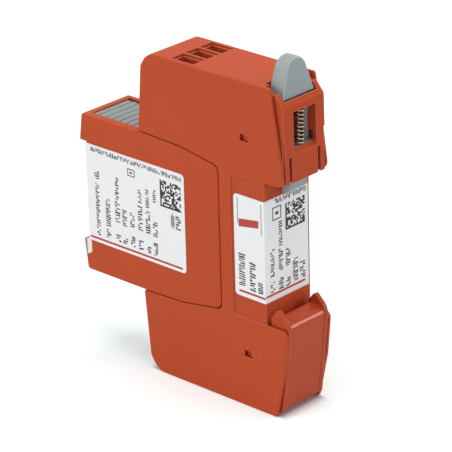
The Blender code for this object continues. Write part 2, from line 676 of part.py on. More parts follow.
def build_hook_plate():
    flush = 0.15 * MM
    back = REAR_REACH - flush
    room_high = -(SLOT_HALF_HEIGHT + SLOT_WALL + GAP)
    knee = rise(REAR_KNEE_DROP - BASE_HEIGHT / 2)
    foot = rise(HOOK_FOOT_RISE)

    def side_view(sunk):
        """Inner outline of the plate, its rear face set back by sunk."""
        return [
            (-CLOSER_DEPTH + GAP, rise(END_WALL - BASE_HEIGHT / 2 + GAP), 0),
            (-GAP, rise(END_WALL - BASE_HEIGHT / 2 + GAP), 0),
            (-GAP, foot, 0),
            (HOOK_FOOT_REACH - sunk, foot, 1.6 * MM),
            (REAR_KNEE_REACH - flush - sunk, knee, 0),
            (back - sunk, rise(HOOK_BACK_RISE), HOOK_ROUNDING),
            (HOOK_REACH + 0.4 * MM, rise(HOOK_RISE), 0.4 * MM),
            (HOOK_REACH, rise(HOOK_RISE - 0.5 * MM), 0.2 * MM),
            (HOOK_REACH, rise(GROOVE_RISE), 0),
            (GAP, rise(GROOVE_RISE), 0),
            (GAP, rise(room_high), 0),
            (-CLOSER_DEPTH + GAP, rise(room_high), 0),
        ]

    plate = add_piece("rail_hook_plate", prism(rounded(side_view(CHEEK_PROUD)), -CLOSER_HALF + CHEEK_THICKNESS / 2,
                                               CLOSER_HALF - CHEEK_THICKNESS / 2, "Y"), RED_PLASTIC)
    cheek = rounded(side_view(0)[:5] + [
        (back, rise(-SLOT_HALF_HEIGHT), 1.5 * MM),
        (back - 0.9 * MM, rise(-SLOT_HALF_HEIGHT + 2.3 * MM), 1.2 * MM),
        (CHEEK_FRONT_REACH + 2.4 * MM, rise(CHEEK_TOP_RISE), 0.5 * MM),
        (CHEEK_FRONT_REACH + 1.6 * MM, rise(CHEEK_TOP_RISE - 0.6 * MM), 0.3 * MM),
        (CHEEK_FRONT_REACH, rise(CHEEK_TOP_RISE - 2.6 * MM), 0.3 * MM),
        (CHEEK_FRONT_REACH, rise(GROOVE_RISE - GAP), 0),
    ] + side_view(0)[-2:])
    for hand in (-1, 1):
        y_values = sorted((hand * (CLOSER_HALF - CHEEK_THICKNESS), hand * CLOSER_HALF))
        join(plate, prism(cheek, *y_values, "Y"))
    join(plate, *snap_arms(BLOCKS["bottom"]))
    return plate


# Rail foot: thumb tab, stem, guide plate and latch in one grey moulding
def tab_outline(inset):
    """Tapered tongue with a round top, in y and z, drawn inwards by inset."""
    arch = TAB_ARCH_RADIUS - inset
    centre = TAB_TOP_RISE - TAB_ARCH_RADIUS
    half = TAB_HALF_WIDTH - inset
    points = [(half, rise(TAB_FOOT_RISE)), (half, rise(TAB_SHOULDER_RISE))]
    start = TAB_ARCH_START
    for step in range(15):
        turn = start + (pi - 2 * start) * step / 14
        points.append((arch * cos(turn), rise(centre + arch * sin(turn))))
    points += [(-half, rise(TAB_SHOULDER_RISE)), (-half, rise(TAB_FOOT_RISE))]
    return points


def tab_solid():
    """Tongue with rounded rims between a leaning front and a leaning back."""
    solid = bmesh.new()
    top = rise(TAB_TOP_RISE)
    foot = rise(TAB_FOOT_RISE)
    front_slope = TAB_FRONT_LEAN / (top - foot)
    back_slope = TAB_BACK_LEAN / (top - foot)
    layers = [(1 - cos(turn), 1 - sin(turn)) for turn in (0.0, pi / 6, pi / 3, pi / 2)]
    rings = []
    for depth, inset in layers:
        ring = []
        for y, z in tab_outline(inset * TAB_ROUNDING):
            x = TAB_BACK_REACH - (z - foot) * back_slope - depth * TAB_ROUNDING
            ring.append(solid.verts.new((x, y, z)))
        rings.append(ring)
    for depth, inset in reversed(layers):
        ring = []
        for y, z in tab_outline(inset * TAB_ROUNDING):
            x = -TAB_FRONT_REACH + (z - foot) * front_slope + depth * TAB_ROUNDING
            ring.append(solid.verts.new((x, y, z)))
        rings.append(ring)
    for low, high in zip(rings, rings[1:]):
        for index in range(len(low)):
            following = (index + 1) % len(low)
            solid.faces.new((low[index], low[following], high[following], high[index]))
    solid.faces.new(rings[0])
    solid.faces.new(rings[-1])
    bmesh.ops.recalc_face_normals(solid, faces=solid.faces)
    return solid


def build_foot():
    plate_back = FOOT_PLATE_REACH + FOOT_PLATE_THICKNESS

    foot = add_piece("rail_foot", tab_solid(), GREY_PLASTIC)
    stem = block(FOOT_PLATE_REACH + GAP, STEM_BACK_REACH, STEM_SIDE - STEM_WIDTH / 2, STEM_SIDE + STEM_WIDTH / 2,
                 rise(FOOT_PLATE_TOP_RISE) - PAST, rise(TAB_FOOT_RISE) + PAST)
    latch_back = FOOT_PLATE_REACH + LATCH_THICKNESS
    plate_foot = rise(SLOT_HALF_HEIGHT) + GAP
    latch = [(FOOT_PLATE_REACH, rise(LATCH_TIP_RISE)), (FOOT_PLATE_REACH + LATCH_TIP_WIDTH, rise(LATCH_TIP_RISE)),
             (latch_back, rise(LATCH_TIP_RISE + LATCH_SLOPE_RISE)), (latch_back, plate_foot + PAST),
             (FOOT_PLATE_REACH, plate_foot + PAST)]
    join(foot, block(FOOT_PLATE_REACH, plate_back, -FOOT_PLATE_HALF_WIDTH, FOOT_PLATE_HALF_WIDTH, plate_foot,
                     rise(FOOT_PLATE_TOP_RISE)),
         prism(latch, -LATCH_HALF_WIDTH, LATCH_HALF_WIDTH, "Y"), stem)
    spring_x = FOOT_SPRING_REACH
    seat_height = rise(FOOT_PLATE_TOP_RISE) + GAP
    length = rise(WINDOW_SILL_RISE + WINDOW_HEIGHT) - GAP - seat_height
    spring = coil((0, 0, 0), FOOT_SPRING_DIAMETER, FOOT_SPRING_WIRE, length, FOOT_SPRING_TURNS)
    bmesh.ops.translate(spring, verts=spring.verts, vec=(spring_x, FOOT_SPRING_SIDE, seat_height))
    add_piece("foot_spring", spring, SPRING_STEEL, (spring_x, FOOT_SPRING_SIDE, seat_height))
    return foot


# Terminals, busbars and contacts
def build_terminal(side_name, pole_name):
    side = BLOCKS[side_name]
    pole = POLES[pole_name]
    height = rise(side * TERMINAL_RISE)
    head_front = -(CHAMBER_FRONT + SCREW_HEAD_HEIGHT + GAP)
    head_back = head_front + SCREW_HEAD_HEIGHT
    tip = -TONGUE_REACH - STRIP_THICKNESS / 2 - GAP
    origin = (head_front, pole, height)
    screw = add_piece(f"screw_{side_name}_{pole_name}",
                      rod("X", (pole, height), SCREW_HEAD_RADIUS, head_front, head_back), STEEL, origin)
    join(screw, rod("X", (pole, height), SCREW_SHANK_RADIUS, head_back - PAST / 2, tip, 16))
    slot_end = head_front + SCREW_SLOT_DEPTH
    wide = SCREW_HEAD_RADIUS + PAST
    cut(screw, block(head_front - PAST, slot_end, pole - wide, pole + wide,
                     height - SCREW_SLOT_WIDTH / 2, height + SCREW_SLOT_WIDTH / 2))
    cage_back = -CAGE_FRONT + CAGE_LENGTH
    cage_half = (CHANNEL_WIDTH / 2) - GAP
    low = height - CAGE_HEIGHT / 2
    high = height + CAGE_HEIGHT / 2
    cage = add_piece(f"clamp_{side_name}_{pole_name}",
                     block(-CAGE_FRONT, cage_back, pole - cage_half, pole + cage_half, low, high), STEEL)
    inner = cage_half - CAGE_WALL + 0.3 * MM
    cut(cage,
        block(-CAGE_FRONT + CAGE_WALL, cage_back - CAGE_WALL, pole - inner, pole + inner, low - PAST, high + PAST),
        rod("X", (pole, height), SCREW_SHANK_RADIUS + 0.15 * MM, -CAGE_FRONT - PAST, -CAGE_FRONT + 2 * CAGE_WALL, 16))


def build_busbar(pole_name):
    pole = POLES[pole_name]
    path = [(-TONGUE_REACH, rise(TONGUE_RISE)), (-TONGUE_REACH, rise(BUSBAR_RUN_RISE)),
            (-BUSBAR_REACH, rise(BUSBAR_RUN_RISE)), (-BUSBAR_REACH, rise(-BUSBAR_RUN_RISE)),
            (-TONGUE_REACH, rise(-BUSBAR_RUN_RISE)), (-TONGUE_REACH, rise(-TONGUE_RISE))]
    half = STRIP_WIDTH / 2
    tongue_half = CHANNEL_WIDTH / 2 - GAP - CAGE_WALL
    busbar = add_piece(f"busbar_{pole_name}", prism(thicken(path, STRIP_THICKNESS, STRIP_BEND), pole - half,
                                                    pole + half, "Y"), COPPER)
    for side in BLOCKS.values():
        for hand in (-1, 1):
            waist = sorted((pole + hand * tongue_half, pole + hand * (half + PAST)))
            heights = span(side, TERMINAL_RISE - CAGE_HEIGHT / 2 - 2 * GAP, TONGUE_RISE + PAST)
            cut(busbar, block(-TONGUE_REACH - PAST, -TONGUE_REACH + PAST, *waist, *heights))
    height = rise(CONTACT_RISES[pole_name])
    clip_back = -BUSBAR_REACH - STRIP_THICKNESS / 2 - GAP
    arm_root = clip_back - CLIP_BACK_THICKNESS
    inside = BLADE_THICKNESS / 2 + GAP
    outside = inside + CLIP_ARM_THICKNESS
    plan = [(clip_back, -1.6 * MM), (clip_back, 1.6 * MM), (arm_root, 1.6 * MM), (arm_root, outside),
            (-CLIP_TIP_REACH + 1.0 * MM, outside), (-CLIP_TIP_REACH, outside + 0.35 * MM),
            (-CLIP_TIP_REACH, inside + 0.35 * MM), (-CLIP_TIP_REACH + 1.0 * MM, inside),
            (arm_root, inside)]
    plan += [(a, -b) for a, b in reversed(plan[2:])]
    placed = [(a, b + pole) for a, b in plan]
    add_piece(f"contact_clip_{pole_name}", prism(placed, height - CLIP_HALF_HEIGHT, height + CLIP_HALF_HEIGHT, "Z"),
              BRONZE)


# Module: shell, cover, release buttons, indicator and the parts inside
def module_outline():
    edge = BAY_HALF_FRONT - GAP
    panel = [
        (-PANEL_REACH, rise(PANEL_BOTTOM_RISE), 0.3 * MM),
        (-PANEL_REACH, rise(PANEL_TOP_RISE), 0.3 * MM),
        (-BROW_REACH, rise(PANEL_TOP_RISE), 0.4 * MM),
    ]
    corners = [
        (-COLLAR_REACH, edge, 0.8 * MM),
        (-SHOULDER_REACH, edge, 0),
        (-BAY_MIDDLE_REACH, BAY_HALF_MIDDLE - GAP, 0),
        (-BAY_REAR_REACH, BAY_HALF_REAR - GAP, 0),
        (-BAY_BACK - GAP, BAY_HALF_REAR - 2 * GAP, MODULE_CORNER),
    ]
    return rounded(panel + mirrored(corners) + [(-BROW_REACH, rise(PANEL_BOTTOM_RISE), 0.4 * MM)])


def blade_slot(pole, height, back_reach):
    """Slot for one plug blade through the module's rear wall."""
    half = BLADE_THICKNESS / 2 + GAP / 2
    tall = BLADE_HALF_HEIGHT + GAP / 2
    return block(back_reach - PAST, -BAY_BACK + PAST, pole - half, pole + half, height - tall, height + tall)


def build_module_shell():
    cover_side = MODULE_FAR - COVER_THICKNESS - GAP
    body = prism(module_outline(), MODULE_NEAR, cover_side, "Y")

    def near_rim(edge):
        return all(abs(vertex.co.y - MODULE_NEAR) < 1e-6 for vertex in edge.verts)

    soften(body, near_rim, EDGE_SOFTNESS)
    shell = add_piece("module_shell", body, RED_PLASTIC)
    inner_near = MODULE_NEAR + MODULE_WALL
    cavity_back = -BAY_BACK - GAP - MODULE_WALL
    button_room = BUTTON_HALF_WIDTH + GAP
    for side in BLOCKS.values():
        pocket_floor = BAY_HALF_FRONT - GAP - BUTTON_SINK - BUTTON_THICKNESS - BUTTON_TRAVEL - GAP
        cut(shell, block(-BUTTON_FRONT - GAP, -BUTTON_TONGUE_REACH + GAP, -button_room, cover_side + PAST,
                         *span(side, pocket_floor, BAY_HALF_FRONT + PAST)))
        well_floor = BAY_HALF_FRONT - GAP - BUTTON_SINK - BUTTON_THICKNESS - BUTTON_SPRING_LENGTH - 2 * GAP
        cut(shell, rod("Z", (-BUTTON_SPRING_REACH, 0), BUTTON_SPRING_DIAMETER / 2 + GAP,
                       *span(side, well_floor, pocket_floor + PAST)))
    cut(shell,
        block(-SLIDER_TIP_REACH, cavity_back, inner_near, cover_side + PAST,
              rise(-CAVITY_HALF_HEIGHT), rise(CAVITY_HALF_HEIGHT)),
        block(-COLLAR_CAVITY_REACH, -SLIDER_TIP_REACH + PAST, inner_near, cover_side + PAST,
              rise(-COLLAR_CAVITY_HALF_HEIGHT), rise(COLLAR_CAVITY_HALF_HEIGHT)))
    lens_gap = 0.2 * MM
    lens_low = PANEL_BOTTOM_RISE - LENS_HEIGHT - lens_gap
    lens_high = PANEL_BOTTOM_RISE + lens_gap
    lens_room_front = -BROW_REACH - PAST
    lens_room_back = -LENS_BACK + lens_gap
    climb = LENS_SLANT / (BROW_REACH - LENS_BACK)
    lens_room = [(lens_room_front, rise(lens_low - climb * PAST)),
                 (lens_room_back, rise(lens_low + LENS_SLANT + climb * lens_gap)),
                 (lens_room_back, rise(lens_high)), (lens_room_front, rise(lens_high))]
    flag_floor = PANEL_BOTTOM_RISE - FLAG_HEIGHT - GAP
    cut(shell,
        prism(lens_room, MODULE_NEAR - PAST, LENS_FAR_SIDE + lens_gap, "Y"),
        block(-FLAG_REACH - GAP, -COLLAR_CAVITY_REACH + PAST, FLAG_NEAR_SIDE - GAP, FLAG_FAR_SIDE + GAP,
              rise(flag_floor), rise(COLLAR_CAVITY_HALF_HEIGHT)),
        block(-LENS_BACK + lens_gap / 2, -FLAG_REACH, FLAG_NEAR_SIDE - GAP, FLAG_FAR_SIDE - GAP,
              rise(flag_floor), rise(PANEL_BOTTOM_RISE - GAP)))
    for name, pole in POLES.items():
        cut(shell, blade_slot(pole, rise(CONTACT_RISES[name]), cavity_back))
    return shell


def build_module_cover():
    body = prism(module_outline(), MODULE_FAR - COVER_THICKNESS, MODULE_FAR, "Y")

    def far_rim(edge):
        return all(abs(vertex.co.y - MODULE_FAR) < 1e-6 for vertex in edge.verts)

    soften(body, far_rim, EDGE_SOFTNESS)
    return add_piece("module_cover", body, RED_PLASTIC)


def build_button(side_name):
    side = BLOCKS[side_name]
    top = BAY_HALF_FRONT - GAP - BUTTON_SINK
    bottom = top - BUTTON_THICKNESS
    body = block(-BUTTON_FRONT, -SHOULDER_REACH, -BUTTON_HALF_WIDTH, BUTTON_HALF_WIDTH, *span(side, bottom, top))
    button = add_piece(f"release_button_{side_name}", body, GREY_PLASTIC,
                       (-BUTTON_SPRING_REACH, 0, rise(side * bottom)))
    join(button, block(-SHOULDER_REACH - PAST, -BUTTON_TONGUE_REACH, -BUTTON_HALF_WIDTH + PAST,
                       BUTTON_HALF_WIDTH - PAST, *span(side, bottom, top - 0.8 * MM)))
    for groove in range(RIB_GROOVES):
        start = -BUTTON_FRONT + RIB_PITCH * (groove + 0.6)
        outline = [(start, rise(side * (top + PAST))), (start, rise(side * top)),
                   (start + RIB_GROOVE_WIDTH * 0.25, rise(side * (top - RIB_GROOVE_DEPTH))),
                   (start + RIB_GROOVE_WIDTH * 0.75, rise(side * (top - RIB_GROOVE_DEPTH))),
                   (start + RIB_GROOVE_WIDTH, rise(side * top)), (start + RIB_GROOVE_WIDTH, rise(side * (top + PAST)))]
        cut(button, prism(outline, -BUTTON_HALF_WIDTH - PAST, BUTTON_HALF_WIDTH + PAST, "Y"))
    spring_low, spring_high = span(side, bottom - GAP - BUTTON_SPRING_LENGTH, bottom - GAP)
    spring = coil((0, 0, 0), BUTTON_SPRING_DIAMETER, BUTTON_SPRING_WIRE, spring_high - spring_low,
                  BUTTON_SPRING_TURNS)
    bmesh.ops.translate(spring, verts=spring.verts, vec=(-BUTTON_SPRING_REACH, 0, spring_low))
    add_piece(f"button_spring_{side_name}", spring, SPRING_STEEL, (-BUTTON_SPRING_REACH, 0, spring_low))
    return button


def build_indicator():
    lens_top = rise(PANEL_BOTTOM_RISE)
    lens_bottom = rise(PANEL_BOTTOM_RISE - LENS_HEIGHT)
    slope = (BROW_REACH - COLLAR_REACH) / (BAY_HALF_FRONT - GAP + PANEL_BOTTOM_RISE)
    front_low = BROW_REACH - slope * LENS_HEIGHT
    side_view = rounded([(-LENS_BACK, lens_bottom + LENS_SLANT, 0), (-LENS_BACK, lens_top, 0),
                         (-BROW_REACH, lens_top, 0.4 * MM), (-front_low, lens_bottom, 0.2 * MM)])
    lens = prism(side_view, MODULE_NEAR, LENS_FAR_SIDE, "Y")

    def near_front(edge):
        return all(abs(vertex.co.y - MODULE_NEAR) < 1e-6 and vertex.co.x < -LENS_BACK - 1e-5
                   for vertex in edge.verts)

    soften(lens, near_front, 0.4 * MM)
    add_piece("indicator_lens", lens, LENS_PLASTIC)
    flag_top = rise(PANEL_BOTTOM_RISE)
    flag_bottom = rise(PANEL_BOTTOM_RISE - FLAG_HEIGHT)
    slider = add_piece("indicator_slider",
                       block(-FLAG_REACH, -FLAG_REACH + FLAG_THICKNESS, FLAG_NEAR_SIDE, FLAG_FAR_SIDE,
                             flag_bottom, flag_top), FLAG_PLASTIC)
    arm_near = FLAG_FAR_SIDE - SLIDER_ARM_WIDTH
    arm_low = rise(SLIDER_ARM_RISE - SLIDER_ARM_HEIGHT)
    join(slider,
         block(-FLAG_REACH, -FLAG_REACH + FLAG_THICKNESS, arm_near, FLAG_FAR_SIDE, flag_top - PAST,
               rise(SLIDER_ARM_RISE)),
         block(-FLAG_REACH, -SLIDER_TIP_REACH, arm_near, FLAG_FAR_SIDE, arm_low, rise(SLIDER_ARM_RISE)))
    floor = rise(-COLLAR_CAVITY_HALF_HEIGHT) + GAP
    side = (arm_near + FLAG_FAR_SIDE) / 2
    spring = coil((0, 0, 0), TRIP_SPRING_DIAMETER, TRIP_SPRING_WIRE, arm_low - GAP - floor, TRIP_SPRING_TURNS)
    bmesh.ops.translate(spring, verts=spring.verts, vec=(-TRIP_SPRING_REACH, side, floor))
    add_piece("disconnector_spring", spring, SPRING_STEEL, (-TRIP_SPRING_REACH, side, floor))


def build_component(name, reach, height, profile, side_y, material):
    """Turned component with its axis along Y; profile gives (radius, y) points."""
    solid = bmesh.new()
    sides = 28
    rings = []
    for radius, y in profile:
        ring = [solid.verts.new((-reach + point.x, side_y + y, height + point.y)) for point in disc(radius, sides)]
        rings.append(ring)
    for low, high in zip(rings, rings[1:]):
        for index in range(sides):
            following = (index + 1) % sides
            solid.faces.new((low[index], low[following], high[following], high[index]))
    solid.faces.new(rings[0])
    solid.faces.new(rings[-1])
    bmesh.ops.recalc_face_normals(solid, faces=solid.faces)
    return add_piece(name, solid, material)


def build_module_inside():
    cavity_back = -BAY_BACK - GAP - MODULE_WALL
    board_half = CAVITY_HALF_HEIGHT - GAP
    notch_half = BLADE_HALF_HEIGHT + 3 * GAP + PAST
    board_front = -SLIDER_TIP_REACH + GAP
    board = add_piece("circuit_board", block(board_front, cavity_back - GAP, -BOARD_THICKNESS / 2,
                                             BOARD_THICKNESS / 2, rise(-board_half), rise(board_half)), LAMINATE)
    cut(board, block(-BLADE_ROOT_REACH - GAP, cavity_back + PAST, -PAST, PAST,
                     rise(CONTACT_RISES["neutral"]) - notch_half, rise(CONTACT_RISES["neutral"]) + notch_half))
    half_disc = VARISTOR_THICKNESS / 2
    rim = 1.3 * MM
    profile = [(VARISTOR_RADIUS - rim, -half_disc), (VARISTOR_RADIUS - 0.3 * rim, -half_disc + 0.4 * rim),
               (VARISTOR_RADIUS, 0), (VARISTOR_RADIUS - 0.3 * rim, half_disc - 0.4 * rim),
               (VARISTOR_RADIUS - rim, half_disc)]
    offset = BOARD_THICKNESS / 2 + GAP + half_disc
    build_component("varistor_line", VARISTOR_REACH, rise(VARISTOR_RISE), profile, -offset, EPOXY)
    build_component("varistor_neutral", VARISTOR_REACH, rise(VARISTOR_RISE), profile, offset, EPOXY)
    tube_side = -(BOARD_THICKNESS / 2 + GAP + TUBE_RADIUS)
    cap = 1.5 * MM
    tube = add_piece("gas_discharge_tube",
                     rod("X", (tube_side, rise(TUBE_RISE)), TUBE_RADIUS - 0.3 * MM, -TUBE_REACH - TUBE_LENGTH / 2 + cap,
                         -TUBE_REACH + TUBE_LENGTH / 2 - cap, 20), CERAMIC)
    for hand in (-1, 1):
        outer = -TUBE_REACH + hand * TUBE_LENGTH / 2
        inner = outer - hand * (cap + 0.1 * MM)
        join(tube, rod("X", (tube_side, rise(TUBE_RISE)), TUBE_RADIUS, min(outer, inner), max(outer, inner), 20))
    for name, pole in POLES.items():
        height = rise(CONTACT_RISES[name])
        half = BLADE_THICKNESS / 2
        tip = 0.8 * MM
        flank = [(-BLADE_TIP_REACH, height - BLADE_HALF_HEIGHT + tip), (-BLADE_TIP_REACH, height + BLADE_HALF_HEIGHT - tip),
                 (-BLADE_TIP_REACH - tip, height + BLADE_HALF_HEIGHT), (cavity_back - GAP, height + BLADE_HALF_HEIGHT),
                 (cavity_back - GAP, height + BLADE_HALF_HEIGHT + PAST),
                 (-BLADE_ROOT_REACH, height + BLADE_HALF_HEIGHT + PAST),
                 (-BLADE_ROOT_REACH, height - BLADE_HALF_HEIGHT - PAST),
                 (cavity_back - GAP, height - BLADE_HALF_HEIGHT - PAST),
                 (cavity_back - GAP, height - BLADE_HALF_HEIGHT), (-BLADE_TIP_REACH - tip, height - BLADE_HALF_HEIGHT)]
        add_piece(f"plug_blade_{name}", prism(flank, pole - half, pole + half, "Y"), COPPER)


# Labels, each a folded sheet with a side leaf and an end leaf
def build_module_label():
    inner = MODULE_NEAR - LABEL_GLUE
    outer = inner - LABEL_THICKNESS
    front = -PANEL_REACH - LABEL_GLUE - LABEL_THICKNESS
    low = rise(MODULE_LABEL_BOTTOM)
    high = rise(MODULE_LABEL_TOP)
    leaf = rounded([(front, low, 0), (-MODULE_LABEL_BACK, low, LABEL_CORNER), (-MODULE_LABEL_BACK, high, LABEL_CORNER),
                    (front, high, 0)])
    label = add_piece("module_label", prism(leaf, outer, inner, "Y"), PAPER)
    join(label, block(front, front + LABEL_THICKNESS, outer, MODULE_FAR - COVER_THICKNESS - 2 * GAP, low, high))
    return label


def build_base_label():
    side_face = -HALF_WIDTH + SIDE_RECESS_DEPTH - LABEL_GLUE
    low = rise(BASE_LABEL_BOTTOM)
    high = rise(BASE_LABEL_TOP)
    leaf = rounded([(-BASE_LABEL_FRONT, low, LABEL_CORNER), (0, low, 0), (0, high, 0),
                    (-BASE_LABEL_FRONT, high, LABEL_CORNER)])
    label = add_piece("base_label", prism(leaf, side_face - LABEL_THICKNESS, side_face, "Y"), PAPER)
    join(label, block(-LABEL_THICKNESS, 0, side_face - LABEL_THICKNESS, HALF_WIDTH - 0.6 * MM, low, high))
    return label


build_housing()
build_foot_guide()
build_hook_plate()
build_foot()
for block_name in BLOCKS:
    for pole_name in POLES:
        build_terminal(block_name, pole_name)
for pole_name in POLES:
    build_busbar(pole_name)
build_module_shell()
build_module_cover()
for block_name in BLOCKS:
    build_button(block_name)
build_indicator()
build_module_inside()
build_module_label()
build_base_label()

for piece in bpy.data.objects:
    if piece.type == "MESH":
        piece.data.shade_smooth()
        piece.data.set_sharp_from_angle(angle=0.6)
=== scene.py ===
import json
import bpy
import bmesh
from math import cos, pi, radians, sin
from mathutils import Matrix, Vector
from random import Random

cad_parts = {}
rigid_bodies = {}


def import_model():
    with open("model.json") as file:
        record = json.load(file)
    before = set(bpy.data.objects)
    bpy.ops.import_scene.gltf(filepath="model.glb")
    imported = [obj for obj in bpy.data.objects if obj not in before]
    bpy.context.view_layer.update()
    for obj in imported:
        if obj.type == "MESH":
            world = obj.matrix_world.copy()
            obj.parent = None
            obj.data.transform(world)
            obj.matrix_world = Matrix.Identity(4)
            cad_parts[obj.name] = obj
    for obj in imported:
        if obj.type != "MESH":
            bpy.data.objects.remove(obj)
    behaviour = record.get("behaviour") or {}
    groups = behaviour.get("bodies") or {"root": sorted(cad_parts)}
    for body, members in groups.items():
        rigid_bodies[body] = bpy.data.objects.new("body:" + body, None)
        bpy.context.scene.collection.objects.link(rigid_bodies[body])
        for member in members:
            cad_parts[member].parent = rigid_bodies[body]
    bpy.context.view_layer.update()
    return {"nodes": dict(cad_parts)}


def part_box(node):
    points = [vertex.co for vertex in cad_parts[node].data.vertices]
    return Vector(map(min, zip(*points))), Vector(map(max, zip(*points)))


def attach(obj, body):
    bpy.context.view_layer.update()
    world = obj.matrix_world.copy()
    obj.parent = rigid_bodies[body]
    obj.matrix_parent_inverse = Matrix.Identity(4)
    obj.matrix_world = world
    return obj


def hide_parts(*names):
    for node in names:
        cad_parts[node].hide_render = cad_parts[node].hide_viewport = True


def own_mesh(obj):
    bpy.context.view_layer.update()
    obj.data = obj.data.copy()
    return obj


for leftover in list(bpy.data.objects):
    bpy.data.objects.remove(leftover)
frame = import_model()
parts = frame["nodes"]


# Base housing
# One red moulding of glass filled polyester, eroded to a fine grain in the tool. Its thin
# rims and the edges of its wells are painted lighter, a painted highlight where they catch the light.
def paint(red, green, blue):
    """Linear colour of a paint given in screen values."""
    values = []
    for value in (red, green, blue):
        share = value / 255
        values.append(share / 12.92 if share <= 0.04045 else ((share + 0.055) / 1.055) ** 2.4)
    return (*values, 1.0)


def bare_material(name):
    material = bpy.data.materials.new(name)
    material.use_nodes = True
    tree = material.node_tree
    return material, tree, tree.nodes["Principled BSDF"]


def moulding(name, colour, rim_highlight_colour, roughness, rim=0.00028, grain=0.05, gloss=0.1):
    """Moulded plastic: fine eroded grain, faint flow clouds, rounded rims that catch the light, painted
    lighter as a painted highlight.
    """
    material, tree, shader = bare_material(name)
    make, link = tree.nodes.new, tree.links.new
    place = make("ShaderNodeTexCoord")
    cloud = make("ShaderNodeTexNoise")
    cloud.inputs["Scale"].default_value = 90
    cloud.inputs["Detail"].default_value = 4
    link(place.outputs["Object"], cloud.inputs["Vector"])
    shade = make("ShaderNodeMix")
    shade.data_type = "RGBA"
    shade.inputs["A"].default_value = tuple(value * 0.93 for value in colour[:3]) + (1,)
    shade.inputs["B"].default_value = tuple(value * 1.06 for value in colour[:3]) + (1,)
    link(cloud.outputs["Fac"], shade.inputs["Factor"])
    rounding = make("ShaderNodeBevel")
    rounding.samples = 6
    rounding.inputs["Radius"].default_value = rim
    surface = make("ShaderNodeNewGeometry")
    turn = make("ShaderNodeVectorMath")
    turn.operation = "DOT_PRODUCT"
    link(rounding.outputs["Normal"], turn.inputs[0])
    link(surface.outputs["Normal"], turn.inputs[1])
    edge = make("ShaderNodeMapRange")
    edge.inputs["From Min"].default_value = 0.975
    edge.inputs["From Max"].default_value = 0.8
    edge.inputs["To Max"].default_value = 1.0
    link(turn.outputs["Value"], edge.inputs["Value"])
    # Painted highlight: the rims are mixed towards the lighter rim colour.
    painted_rim_light = make("ShaderNodeMix")
    painted_rim_light.data_type = "RGBA"
    link(edge.outputs["Result"], painted_rim_light.inputs["Factor"])
    link(shade.outputs["Result"], painted_rim_light.inputs["A"])
    painted_rim_light.inputs["B"].default_value = rim_highlight_colour
    link(painted_rim_light.outputs["Result"], shader.inputs["Base Color"])
    erosion = make("ShaderNodeTexNoise")
    erosion.inputs["Scale"].default_value = 3800
    erosion.inputs["Detail"].default_value = 3
    link(place.outputs["Object"], erosion.inputs["Vector"])
    relief = make("ShaderNodeBump")
    relief.inputs["Strength"].default_value = grain
    relief.inputs["Distance"].default_value = 0.0001
    link(erosion.outputs["Fac"], relief.inputs["Height"])
    link(rounding.outputs["Normal"], relief.inputs["Normal"])
    link(relief.outputs["Normal"], shader.inputs["Normal"])
    polish = make("ShaderNodeMapRange")
    polish.inputs["To Min"].default_value = roughness - 0.05
    polish.inputs["To Max"].default_value = roughness + 0.06
    link(erosion.outputs["Fac"], polish.inputs["Value"])
    link(polish.outputs["Result"], shader.inputs["Roughness"])
    shader.inputs["Specular IOR Level"].default_value = gloss
    return material


def finish_node(node, material):
    """Gives a solid of the frame its finish."""
    parts[node].data.materials.clear()
    parts[node].data.materials.append(material)


red = paint(194, 79, 44)
# The lighter red of the rims is a painted highlight.
red_rim_highlight = paint(236, 146, 112)
housing_red = moulding("red_housing_polyester", red, red_rim_highlight, 0.46)
finish_node("base_housing", housing_red)

# Rail end closers
# The guide cap of the sprung foot and the hook plate are snapped into the rear of the housing.
# Both are moulded in the same red, the plate smoother, so that its rail hook shines.
# The second colour of each moulding is its painted rim highlight.
cap_red = moulding("red_cap_polyester", paint(191, 76, 40), red_rim_highlight, 0.42, rim=0.00032)
hook_red = moulding("red_hook_polyester", paint(190, 70, 30), paint(222, 112, 76), 0.23, rim=0.0004,
                    grain=0.02, gloss=0.22)
finish_node("foot_guide_cap", cap_red)
finish_node("rail_hook_plate", hook_red)

# Rail foot and its spring
# A grey tongue of polyamide slides in the cap and grips the upper rail edge. It is pulled by
# its rounded tab, and a drawn steel wire spring inside the cap window pushes it home.
grey = paint(157, 164, 166)
# The lighter grey of the rims is a painted highlight.
grey_rim_highlight = paint(198, 204, 206)
foot_grey = moulding("grey_foot_polyamide", grey, grey_rim_highlight, 0.4, rim=0.00016, grain=0.04, gloss=0.35)
MM = 0.001
SEAT = 29.1                                        # from the origin to the face of the rail seat
TAB_FOOT, TAB_TOP = 86.3, 96.35                    # heights of the tab's lower edge and tip
TAB_HALF, TAB_ARCH = 5.9, 3.8                      # half its width at the foot, radius of its tip
ARCH_START = 0.28                                  # where the slanting flank meets the arch, in radians
TAB_RIM = 0.55                                     # radius of its rounded rim
HIGHLIGHT_BANDS = (1, 2, 3)                              # bands of that rim which are painted lighter, a painted highlight
TAB_REAR, TAB_FRONT = (4.8, -0.94), (-0.53, 0.38)  # reach of each face at the foot, and its lean
SHOULDER = (1.6, 4.9, -5.2, 5.2, 65.2, 73.2)       # the spring stands on it
STEM = (1.9, 3.5, 2.25, 4.75, 73.0, 84.8)
NECK = (-0.3, 3.5, -5.0, 5.0, 84.6, 87.2)
LATCH = [(1.6, 60.2), (2.1, 60.2), (4.2, 61.8), (4.2, 65.4), (1.6, 65.4)]
LATCH_HALF = 3.2


def tab_ring(inset):
    """Tapered tongue with a round top, in y and z, drawn inwards by inset."""
    arch = TAB_ARCH - inset
    foot = TAB_HALF - inset
    points = [(foot, TAB_FOOT + inset)]
    for step in range(33):
        turn = ARCH_START + (pi - 2 * ARCH_START) * step / 32
        points.append((arch * cos(turn), TAB_TOP - TAB_ARCH + arch * sin(turn)))
    return points + [(-foot, TAB_FOOT + inset)]


